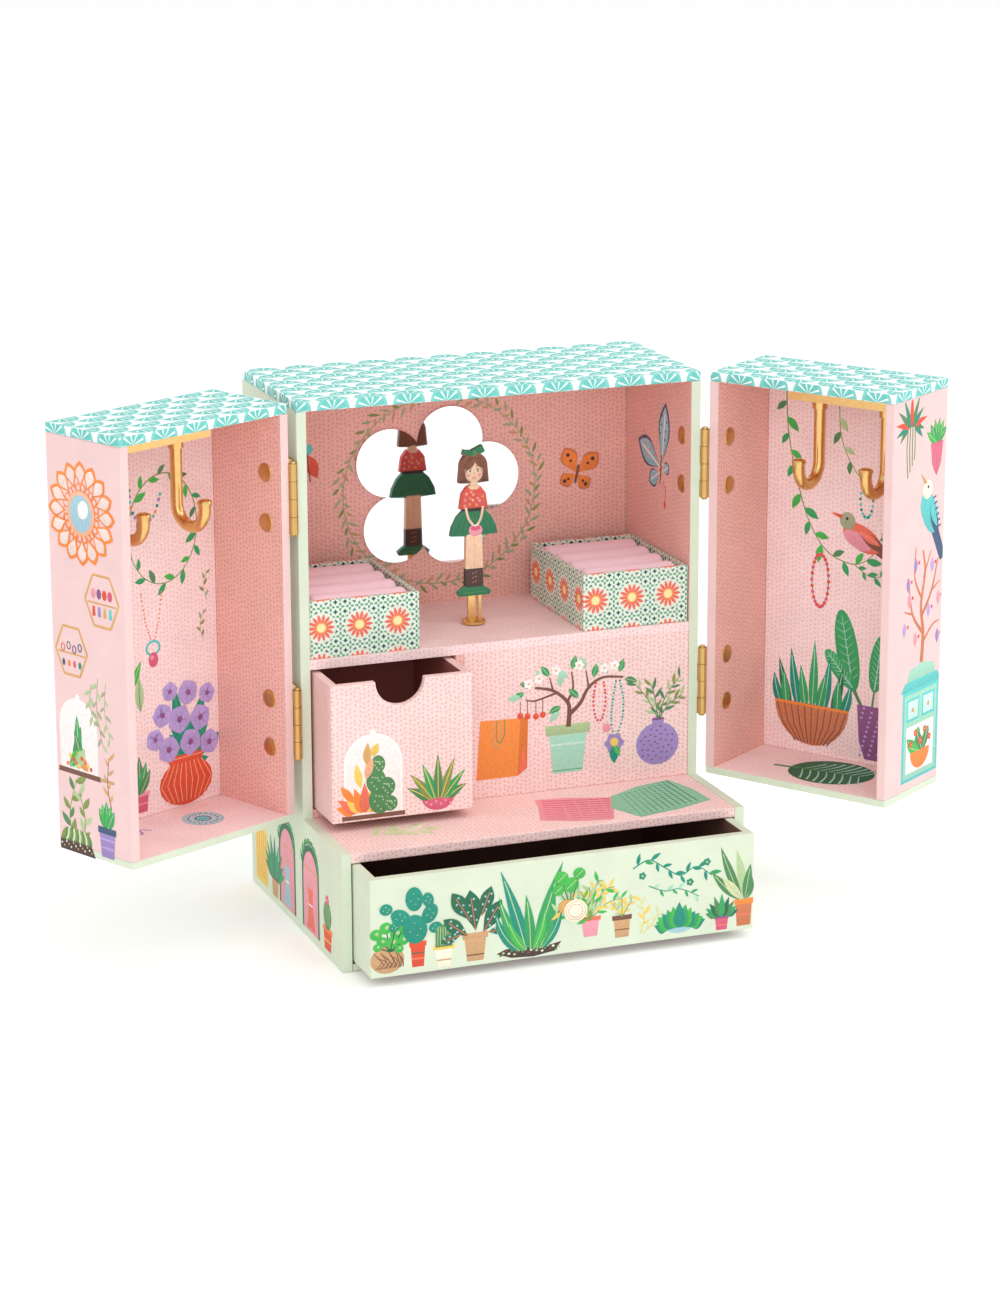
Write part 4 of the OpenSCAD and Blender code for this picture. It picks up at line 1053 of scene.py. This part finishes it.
tuft(("leafGreen", "freshGreen"), 12.6, 54, 62, 14, 5, 10.4, 1)
pot("purple", 12.6, 44.4, 8, 6.2, 10, "navy", (("lilac", 0.3, 0.7), ("lilac", 0.6, 0.7)))
printOnDoor("leftDoorEdgePicture", "left_door", "edge")


# Right door inside: vine and bird, bead loops, terracotta bowl, paddle leaves, a big leaf on the floor
sprig("olive", ("leafGreen", "moss", "freshGreen"), [(11, 188), (11.4, 172), (13, 160), (16.6, 146),
    (21.4, 133), (29, 123), (40, 119.6), (48, 124), (52, 133)], 6.2, 4.6, 0.44, 0.5, 52)
sprig("olive", ("moss", "paleLeaf"), [(33, 178), (34, 166), (38.6, 156), (45.6, 149), (54, 147)], 5.4, 4.6,
    0.42, 0.4, 50)
sprig("olive", ("leafGreen",), [(40, 120), (47, 116), (53, 117)], 4, 2.2, 0.42, 0.4)
bird(43.4, 129.6, 17, -24, "coral", "pink", "greyGreen", "brown", "redOrange")
hoop("brown", 26.5, 111.6, 3.4, 9.8, 0.3, 28)
for k in range(26):
    disc(("redOrange", "rose")[k % 2], *around(26.5, 111.6, 3.5, 9.8, 2 * pi * k / 26), 0.72, count=8)
for k in range(20):
    disc(("deepTeal", "turquoise")[k % 2], *around(45, 144, 2.6, 6.6, 2 * pi * k / 20), 0.6, count=8)
for x, y, rx, ry, turn, stalk in ((38.4, 87, 4.6, 15.4, 11, (45.6, 66)),
        (35.4, 79.6, 3.2, 8.8, 42, (44.6, 67)), (51.4, 84, 3.6, 11, -8, (49, 66))):
    lean = radians(90 + turn)
    line("moss", [stalk, around(x, y, -ry * 0.8, -ry * 0.8, lean)], 0.9, 0.7)
    disc("leafGreen", x, y, rx, ry, turn, 24)
    line("mint", [around(x, y, far, far, lean) for far in (-ry * 0.92, ry * 0.86)], 0.6, 0.2)
    for k in range(8):
        far = ry * (-0.7 + 0.19 * k)
        for half in (-rx * 0.66, rx * 0.66):
            rib = around(*around(x, y, far + 2, far + 2, lean), half, half, lean - pi / 2)
            line("mint", [around(x, y, far, far, lean), rib], 0.24, 0.12)
shape("plum", [(43, 67.6), (56.6, 67.6), (55.6, 54), (52.6, 47.4), (46.6, 47.4), (44, 54)])
for k in range(30):
    disc("lilac", 44.6 + (k * 3.7 % 10.6), 48.6 + k * 0.62, 0.62, 0.44, count=7)
for x, angle, size, curl, ink in ((11.4, 118, 13, -22, "deepTeal"), (36.6, 62, 13, 22, "deepTeal"),
        (15, 110, 19, -8, "darkGreen"), (32.6, 72, 19, 8, "darkGreen"), (18.4, 102, 23, -6, "deepTeal"),
        (28.8, 80, 22, 6, "deepTeal"), (24, 86, 27, 4, "leafGreen"), (21.4, 98, 17, 0, "leafGreen"),
        (26.6, 78, 16, 0, "leafGreen"), (13.4, 96, 14, 0, "leafGreen"), (34.6, 88, 14, 0, "leafGreen")):
    leaf(ink, x, 62, angle, size, 3.8, curl, belly=0.7, vein="mint")
bowl("terracotta", 24, 48.8, 31, 15.6)
for k in range(11):
    w = -1 + 2 * k / 10
    line("brown", [(24 + w * 14.6, 63.6), (24 + w * 12, 56), (24 + w * 6.6, 49.6)], 0.4)
line("orange", [(8.8, 63.8), (39.2, 63.8)], 0.9)
printOnDoor("rightDoorPicture", "right_door", "inside")

disc("darkGreen", 42, 18.6, 16, 13.6, 8, 30)
for k in range(8):
    x, y = 31 + k * 3.1, 17 + k * 0.44
    for side in (-1, 1):
        rib = [(x, y), (x + 3, y + side * 6), (x + 4.4, y + side * (12.6 - abs(k - 3)))]
        line("mint", bend(rib, 4), 0.3, 0.9)
line("moss", [(20, 15.4), (57, 20.6)], 1.1, 0.5)
printOnDoor("rightDoorFloorPicture", "right_door", "floor")


# Right door's meeting wall: hanging plants, a small parrot in a tree, a cabinet of pots
aloe(("moss", "deepTeal", "redOrange"), 12.4, 178, 120, 13, 2.2, 11, 20)
for k in range(4):
    line("moss", bend([(10 + 1.6 * k, 178), (9.4 + 1.9 * k, 170), (10.6 + 1.4 * k, 160 + 2 * k)], 4), 0.4)
tuft(("leafGreen", "freshGreen"), 31, 169, 36, 22, 6, 9, 0, 3)
shape("rose", [(26.6, 169.4), (35.2, 169.4), (34, 162), (31, 157.6), (28, 162)])
for k in range(5):
    line("pink", [(27 + k * 1.9, 169), (29 + k, 160)], 0.3)
for path, wide in (([(24, 91), (24.6, 102), (22.6, 112), (25, 124), (23, 132)], 2.4),
        ([(23.2, 108), (30, 116), (34, 127)], 1.6), ([(24, 102), (16.6, 110), (13.6, 121)], 1.5),
        ([(23.4, 114), (17.6, 123), (18, 134)], 1.1), ([(30, 116), (36, 118.6)], 0.9),
        ([(24, 122), (29, 131)], 0.9), ([(16.6, 110), (10.6, 112)], 0.9),
        ([(24.4, 98), (31, 103), (36, 104)], 1.1)):
    line("terracotta", bend(path, 6), wide, wide * 0.4)
for k, (x, y) in enumerate(((11, 108), (14, 118), (18, 130), (30, 128), (35, 115), (35, 101), (28, 112),
        (19, 103), (13, 124))):
    leaf(("lilac", "pink", "purple")[k % 3], x, y, -90, 5.4, 2.4)
    disc("redOrange", x + 2.4, y - 2, 0.7, count=7)
bird(27, 145, 18, -58, "turquoise", "turquoise", "cream", "navy", "gold")
for k in range(6):
    line("navy", [(29 + 0.9 * k, 149.6 - 2.2 * k), (31.4 + 0.8 * k, 150 - 2.2 * k)], 0.5)
panel("turquoise", 11.4, 48.4, 37.2, 82)
panel("mint", 12.8, 49.6, 35.8, 80.6)
shape("turquoise", [(9.8, 82), (38.6, 82), (36, 85.4), (12.6, 85.4)])
shape("mint", [(14, 85.4), (34.6, 85.4), (33, 89.4), (24.4, 91), (15.6, 89.4)])
for x in (14.2, 25.2):
    panel("turquoise", x, 70.6, x + 9.2, 79)
    panel("paleTeal", x + 1, 71.6, x + 8.2, 78)
    disc("gold", x + 4.6, 74.6, 0.9, count=10)
panel("white", 14.6, 51.4, 34, 68.6)
for k in range(8):
    leaf(("leafGreen", "freshGreen", "moss")[k % 3], 24 + (k % 3 - 1) * 2, 58, 24 + 19 * k, 9.6, 4.4,
        vein="paleLeaf")
for k in range(5):
    bloom("redOrange", 17.6 + 3.4 * k, 62 + (k % 2) * 3.6, 1.4, 5, "yellow")
bowl("orange", 24.4, 52, 13.6, 6.6)
printOnDoor("rightDoorEdgePicture", "right_door", "edge")


# Base: a picture on each side, pot plants and arched alcoves
def basePicture(name, where):
    shape("yellow", [(44, 3), (58, 3), (58, 22), (54.6, 27), (51, 28.6), (47.4, 27), (44, 22)])
    for k in range(5):
        line("orange", [(46 + 2.5 * k, 5), (46 + 2.5 * k, 23)], 0.5)
    for x, garment in ((20, "paleBlue"), (-7, "coral")):
        arch = [around(x, 25, 9.6, 10, radians(180 - 20 * k)) for k in range(10)]
        arch = [(x - 9.6, 3)] + arch + [(x + 9.6, 3)]
        shape("darkGreen", arch[::-1])
        shape("pink", [(x + (px - x) * 0.84, 3 + (py - 3) * 0.93) for px, py in arch[::-1]])
        line("gold", [(x - 7, 26), (x + 7, 26)], 0.6)
        shape(garment, [(x - 4.6, 4), (x + 4.6, 4), (x + 2, 13), (x + 3, 19), (x - 3, 19), (x - 2, 13)])
        line("white", [(x - 2, 13), (x + 2, 13)], 0.6)
        line("gold", bend([(x - 1.8, 19), (x, 23), (x + 1.8, 19)], 4), 0.5)
        for k in range(9):
            leaf(("moss", "leafGreen")[k % 2], *around(x, 26, 9, 9.6, 0.35 * k), 70 + 24 * k, 5, 1.9)
    pot("redOrange", -25.6, 2.6, 9, 7, 8, "orange", (("yellow", 0.4, 0.5),))
    disc("moss", -25.6, 15.4, 4.2, 5.2)
    for k in range(5):
        line("paleLeaf", [(-28.4 + k * 1.4, 11.6), (-28.2 + k * 1.3, 19)], 0.3)
    bloom("rose", -25.6, 21, 2, 6, "yellow")
    pot("tan", 35, 2.6, 8, 6, 7.4, "brown")
    aloe(("leafGreen", "deepTeal", "moss"), 35, 9.6, 56, 17, 3.4, 9, 14)
    makePrint(name, where, "cabinet", "mint_print")


basePicture("leftBasePicture", leftwardPlace(-boxDoor["outerSide"]))
basePicture("rightBasePicture", lambda a, b, c: (boxDoor["outerSide"] + c, a, b))


# Closed doors' outside: a shop window in each, with pot plants below; sprigs on the back
def shopWindow(name, door):
    left, right, sill, spring = 16.0, 60.0, 100.0, 158.0
    middle = (left + right) / 2
    arch = [around(middle, spring, 22, 20, radians(180 - 12 * k)) for k in range(16)]
    arch = [(left, sill)] + arch + [(right, sill)]
    shape("turquoise", arch[::-1])
    shape("paleTeal", [(middle + (x - middle) * 0.9, 140 + (y - 140) * 0.93) for x, y in arch[::-1]])
    line("turquoise", [(middle, sill + 2), (middle, spring + 19)], 1.3)
    for y in (120, 140, 158):
        line("turquoise", [(left + 2, y), (right - 2, y)], 1.2)
    shape("coral", [(12, 96), (64, 96), (62, 101), (14, 101)])
    for x, ink, shorter in ((23, "redOrange", 0.6), (38, "gold", 2), (53, "purple", 0.6)):
        pot(ink, x, 101, 9, 6.4, 8, "peach")
        tuft(("leafGreen", "freshGreen", "moss"), x, 108, 30, 20, 7, 15, shorter)
    for k in range(6):
        bloom(("rose", "yellow", "lilac")[k % 3], 17 + k * 8.4, 118 + (k % 2) * 4, 2.4, 5, "cream")
    for k in range(3):
        x = 24 + 14 * k
        line("gold", [(x, 176 - 3 * abs(k - 1) * 1.4), (x, 152)], 0.5)
        disc("gold", x, 149, 3.4, 3.8)
        disc("cream", x, 148.4, 2, 2.2)
    for x, size, ink in ((12, 20, "terracotta"), (30, 28, "tan"), (48, 24, "rose"), (64, 18, "orange")):
        pot(ink, x, 48, 12, 9, 10, "cream", (("cream", 0.4, 0.6),))
        aloe(("deepTeal", "leafGreen", "moss"), x, 57, 52, size, 4, 9, 16, "paleLeaf")
    sprig("olive", ("leafGreen", "paleLeaf"), [(6, 186), (9, 160), (5, 130), (8, 100)], 5.6, 3, 0.42, 0.5)
    sprig("olive", ("leafGreen", "paleLeaf"), [(68, 186), (66, 160), (70, 130), (67, 100)], 5.6, 3, 0.42, 0.5)
    printOnDoor(name, door, "outside")


shopWindow("leftShopWindow", "left_door")
shopWindow("rightShopWindow", "right_door")

for k in range(20):
    x, z = -58 + 29 * (k % 5), 22 + 44 * (k // 5) + 12 * (k % 2)
    if hypot(x + 1.5, z - 60) > 26:
        sprig("moss", ("leafGreen", "paleLeaf", "moss"), [(x, z), (x + 3, z + 8), (x + 1, z + 17)], 4.6, 2.4,
            0.42, 0.5)
        bloom(("rose", "orange", "lilac")[k % 3], x + 1, z + 18, 2.8, 6, "yellow")
backFace = highMm("back_panel")[1]
makePrint("backSprigs", lambda a, b, c: (a, backFace + c, b), "cabinet", "mint_print")
print("pictures printed")


# Figure: printed card, both sides
figure = {
    "axis": -1.5, "foot": lowMm("figure_card")[2] + 0.6,
    "front": lowMm("figure_card")[1], "back": highMm("figure_card")[1],
    # how high each colour of the cut edge begins, from the shoes' soles
    "bands": ((-1, "skirtGreen"), (2.9, "darkBrown"), (9.4, "skin"), (21.4, "skirtGreen"), (30.7, "black"),
              (31.5, "redTop"), (39.4, "skin"), (40.7, "hair"), (51.4, "skirtGreen")),
}

# Screen-printed greyboard with a satin varnish, die cut: colours run to the cut edge
cardMat, cardShader = newMaterial("diecutPrintedCard", 0.46)
cardPlace = ownCoords(cardMat, "figure")
cardHeight = addNode(cardMat, "SeparateXYZ", {0: cardPlace}).outputs[2]
cardColour = linear(inks["skirtGreen"])
for start, ink in figure["bands"]:
    above = addNode(cardMat, "Math", {"operation": "GREATER_THAN", 0: cardHeight, 1: figure["foot"] + start})
    cardColour = addNode(cardMat, "Mix", {"data_type": "RGBA", 0: above, 6: cardColour,
                                          7: linear(inks[ink])}).outputs[2]
cardGrain = addNode(cardMat, "TexNoise", {"Scale": 3.0, "Detail": 3.0, "Vector": cardPlace})
cardBump = addNode(cardMat, "Bump", {"Strength": 0.12, "Distance": 0.0001, "Height": cardGrain})
setNode(cardMat, cardShader, {"Base Color": tone(cardMat, cardColour, cardPlace, 0.04), "Normal": cardBump})
dress("figure_card", cardMat)


def dollPrint(name, y, side):
    shape("skirtGreen", [(-5.7, -0.4), (5.7, -0.4), (6.2, 0.8), (3.4, 2.9), (-3.4, 2.9), (-6.2, 0.8)])
    line("moss", [(-4.4, 0.6), (4.4, 0.6)], 0.4)
    shape("darkBrown", [(-3, 2.6), (3, 2.6), (2.9, 9.4), (-2.9, 9.4)], 0.4, 0.7)
    for k in range(3):
        line("terracotta", [(-0.9, 4.2 + 1.6 * k), (0.9, 4.9 + 1.6 * k)], 0.28)
    line("black", [(0, 2.8), (0, 9.2)], 0.25)
    panel("skin", -2.8, 9.4, 2.8, 22)
    line("peach", [(0, 9.6), (0, 21.6)], 0.36)
    skirt = [(8.6, 22), (8, 24.8), (6.1, 28.5), (3.7, 30.7)]
    shape("skirtGreen", skirt + [(-x, z) for x, z in skirt[::-1]], 0.35, 0.62)
    for k in range(7):
        line("darkGreen", bend([(-7.2 + 2.4 * k, 22.4), (-5 + 1.67 * k, 27.4), (-2.7 + 0.9 * k, 30.4)], 4),
            0.26)
    panel("black", -3.6, 30.4, 3.6, 31.7)
    shape("redTop", [(-5.1, 31.6), (5.1, 31.6), (4.3, 36.7), (2.4, 39.1), (-2.4, 39.1), (-4.3, 36.7)])
    for k in range(16):
        x, z = -3.6 + (k * 3.1 % 7.4), 32.6 + (k * 1.9 % 5.2)
        disc(("pink", "peach", "rose", "gold")[k % 4], x, z, 0.5, count=8)
    shape("skin", [(-1.3, 38.8), (1.3, 38.8), (1.2, 41.4), (-1.2, 41.4)])
    shape("skin", [(-2.2, 39.4), (2.2, 39.4), (1.3, 38.3), (-1.3, 38.3)])
    disc("hair", 0, 46.5, 5, 5, 0, 28)
    shape("hair", [(-5.5, 41.1), (5.5, 41.1), (5, 46.5), (-5, 46.5)], 0.3, 0.6)
    if side > 0:
        shape("skin", [(-1.2, 39.6), (1.2, 39.6), (1.3, 42), (-1.3, 42)])
        disc("skin", 0, 45, 3.5, 4, 0, 26)
        for x in (-2.1, 2.1):
            disc("pink", x, 43.6, 0.75, 0.6)
        for x in (-1.45, 1.45):
            disc("white", x, 45.1, 0.62, 0.5)
            disc("black", x, 45.1, 0.36, 0.44)
            line("brown", bend([(x - 0.7, 45.6), (x, 45.95), (x + 0.7, 45.6)], 4), 0.2)
            line("brown", bend([(x - 0.7, 46.5), (x, 46.8), (x + 0.7, 46.5)], 4), 0.18)
        line("tan", [(0, 44.9), (0.1, 43.9)], 0.2)
        line("redOrange", bend([(-0.7, 42.7), (0, 42.4), (0.7, 42.7)], 4), 0.3)
        leaf("hair", 0.6, 49.4, 214, 5.6, 2.6, 24)
        leaf("hair", 0.2, 49.6, -34, 5.4, 2.6, -24)
        for k in range(4):
            line("brown", bend([(-4.4 + 0.3 * k, 41.6), (-4.4 + 0.5 * k, 45), (-1.6 + 0.4 * k, 49.8)], 4),
                0.16)
            line("brown", bend([(4.4 - 0.3 * k, 41.6), (4.4 - 0.5 * k, 45), (2.4 - 0.4 * k, 49.8)], 4), 0.16)
        line("darkBrown", [(-5.4, 41.4), (-3, 41.6)], 0.6)
        line("darkBrown", [(3, 41.6), (5.4, 41.4)], 0.6)
        disc("pink", 0.5, 23.4, 2.6, 2.2, 0, 20)
        disc("rose", 0.5, 24.2, 1.9, 0.9)
        line("skin", bend([(-3.2, 32), (-2.2, 28), (-0.6, 25.6)], 5), 0.85)
        line("skin", bend([(3.4, 32), (2.6, 28), (1.4, 25.6)], 5), 0.85)
        line("cream", bend([(-0.9, 26), (0.4, 25), (1.7, 26)], 5), 0.5)
        line("terracotta", [(-3.9, 31.4), (-3.6, 36.4)], 0.25)
        line("terracotta", [(3.9, 31.4), (3.6, 36.4)], 0.25)
    else:
        for k in range(7):
            line("brown", bend([(-4 + 1.33 * k, 41.2), (-4.4 + 1.46 * k, 45), (-0.9 + 0.3 * k, 50.8)], 4),
                0.2)
    leaf("skirtGreen", 1.2, 51.9, 18, 2.6, 2)
    leaf("moss", 1.2, 51.9, 206, 2.4, 2)
    leaf("skirtGreen", 0.2, 51.2, 168, 3.9, 1.8)
    def where(a, b, c):
        return (figure["axis"] + a, y - side * c, figure["foot"] + b)
    makePrint(name, where, "figure", "printed_card")


dollPrint("figureFrontPrint", figure["front"], 1)
dollPrint("figureBackPrint", figure["back"], -1)
print("figure printed")


# Ring rolls: velour over foam, four to a tray, with a deep groove between each two for the rings
rolls = {
    "count": 4, "narrower": 0.45 * mm, "grain": 1.1 * mm, "cap": 0.55 * mm, "pressure": 4.0, "frames": 20,
    "bevel": 7, "glued": 3 * mm,
}

# Brushed nylon velour: soft matt pink whose colour holds painted light, a deeper pink low in the grooves as
# painted shade and a pale pink on the crowns as a painted highlight
velour, velourShader = newMaterial("brushedNylonVelour", 0.9)
velourPlace = ownCoords(velour, "cabinet")
velourUp = addNode(velour, "SeparateXYZ", {0: velourPlace}).outputs[2]
rollTop = highMm("left_ring_rolls")[2]
# Painted light by height: 0 low in the grooves between the rolls, 1 on the crowns
paintedLightMask = addNode(velour, "MapRange", {0: velourUp, 1: rollTop - 5.5, 2: rollTop - 2.4})
nap = addNode(velour, "TexNoise", {"Scale": 0.55, "Detail": 5.0, "Roughness": 0.65, "Vector": velourPlace})
brushed = addNode(velour, "MapRange", {0: nap, 1: 0.35, 2: 0.7, 3: 0.0, 4: 0.28})
# Painted shade and highlight: deeper pink #ee9fb6 low in the grooves, pale pink #ffe0ea on the crowns
paintedShadeToLight = addNode(velour, "Mix", {"data_type": "RGBA", 0: paintedLightMask, 6: linear("#ee9fb6"), 7: linear("#ffe0ea")})
# The nap's random tone is mixed over the painted shade and highlight
pileWithPaintedShade = addNode(velour, "Mix", {"data_type": "RGBA", 0: brushed, 6: paintedShadeToLight.outputs[2], 7: linear("#fbcfdd")})
fuzz = addNode(velour, "TexNoise", {"Scale": 7.0, "Detail": 2.0, "Vector": velourPlace})  # pile drawn coarser
pileBump = addNode(velour, "Bump", {"Strength": 0.3, "Distance": 0.00015, "Height": fuzz})
setNode(velour, velourShader, {"Base Color": pileWithPaintedShade.outputs[2], "Normal": pileBump,
                               "Sheen Weight": 0.35, "Sheen Roughness": 0.45})


def foamRoll(name, low, high):
    bpy.ops.object.select_all(action="DESELECT")
    bpy.ops.mesh.primitive_cube_add(size=1, location=(low + high) / 2, scale=high - low)
    roll = bpy.context.object
    roll.name = name
    bpy.ops.object.transform_apply(location=True, rotation=True, scale=True)
    bpy.ops.object.mode_set(mode="EDIT")
    bpy.ops.mesh.select_mode(type="EDGE")
    bpy.ops.mesh.select_all(action="DESELECT")
    bpy.ops.object.mode_set(mode="OBJECT")
    spots = roll.data.vertices
    for edge in roll.data.edges:
        a, b = spots[edge.vertices[0]].co, spots[edge.vertices[1]].co
        edge.select = min(a.z, b.z) > high.z - mm and abs(a.y - b.y) < 0.1 * mm  # the two long top edges
    bpy.ops.object.mode_set(mode="EDIT")
    bpy.ops.mesh.bevel(offset=(high.y - low.y) * 0.47, segments=rolls["bevel"], affect="EDGES")
    bpy.ops.object.mode_set(mode="OBJECT")
    skin = roll.modifiers.new("skin", "REMESH")
    skin.mode = "VOXEL"
    skin.voxel_size = rolls["grain"]
    bpy.ops.object.modifier_apply(modifier=skin.name)
    puff(roll, low)
    smooth = roll.modifiers.new("smooth", "SMOOTH")
    smooth.factor = 0.5
    smooth.iterations = 2
    bpy.ops.object.modifier_apply(modifier=smooth.name)
    fine = roll.modifiers.new("fine", "SUBSURF")
    fine.levels = fine.render_levels = 1
    bpy.ops.object.modifier_apply(modifier=fine.name)
    bpy.ops.object.shade_smooth()
    return roll


def puff(roll, low):
    before = [v.co.copy() for v in roll.data.vertices]
    foot = roll.vertex_groups.new(name="glued")
    foot.add([v.index for v in roll.data.vertices if v.co.z < low.z + rolls["glued"]], 1.0, "REPLACE")
    cloth = roll.modifiers.new("velour", "CLOTH")
    cloth.settings.use_pressure = True
    cloth.settings.uniform_pressure_force = rolls["pressure"]
    cloth.settings.vertex_group_mass = foot.name
    cloth.settings.effector_weights.gravity = 0
    cloth.point_cache.frame_start = 1
    cloth.point_cache.frame_end = rolls["frames"]
    for step in range(1, rolls["frames"] + 1):
        bpy.context.scene.frame_set(step)
    bpy.ops.object.modifier_apply(modifier=cloth.name)
    for v, start in zip(roll.data.vertices, before):
        moved = v.co - start
        if moved.length > rolls["cap"]:
            v.co = start + moved.normalized() * rolls["cap"]
    roll.vertex_groups.clear()
    bpy.context.scene.frame_set(1)


for side, node in ((-1, "left_ring_rolls"), (1, "right_ring_rolls")):
    low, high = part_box(node)
    low, high = Vector(low), Vector(high)
    pitch = (high.y - low.y) / rolls["count"]
    pads = []
    for k in range(rolls["count"]):
        inset = rolls["narrower"]
        pads.append(foamRoll("foamRoll%d" % k,
                             Vector((low.x + inset, low.y + k * pitch + inset, low.z)),
                             Vector((high.x - inset, low.y + (k + 1) * pitch - inset, high.z - inset))))
    bpy.ops.object.select_all(action="DESELECT")
    for pad in pads:
        pad.select_set(True)
    bpy.context.view_layer.objects.active = pads[0]
    bpy.ops.object.join()
    cushion = bpy.context.object
    cushion.name = "leftRingCushion" if side < 0 else "rightRingCushion"
    cushion.data.materials.clear()
    cushion.data.materials.append(velour)
    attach(cushion, "cabinet")
    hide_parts(node)
print("ring rolls padded")


# Studio floor
bpy.ops.object.select_all(action="DESELECT")
bpy.ops.mesh.primitive_plane_add(size=40, location=(0, 0, -0.0002))
backdrop = bpy.context.object
backdrop.name = "studioFloor"
floorMat, floorShader = newMaterial("paintedStudioFloor", 0.7)
setNode(floorMat, floorShader, {"Base Color": linear("#fdfdfd"), "Emission Color": linear("#ffffff"),
                                "Emission Strength": studio["floorGlow"]})
backdrop.data.materials.append(floorMat)
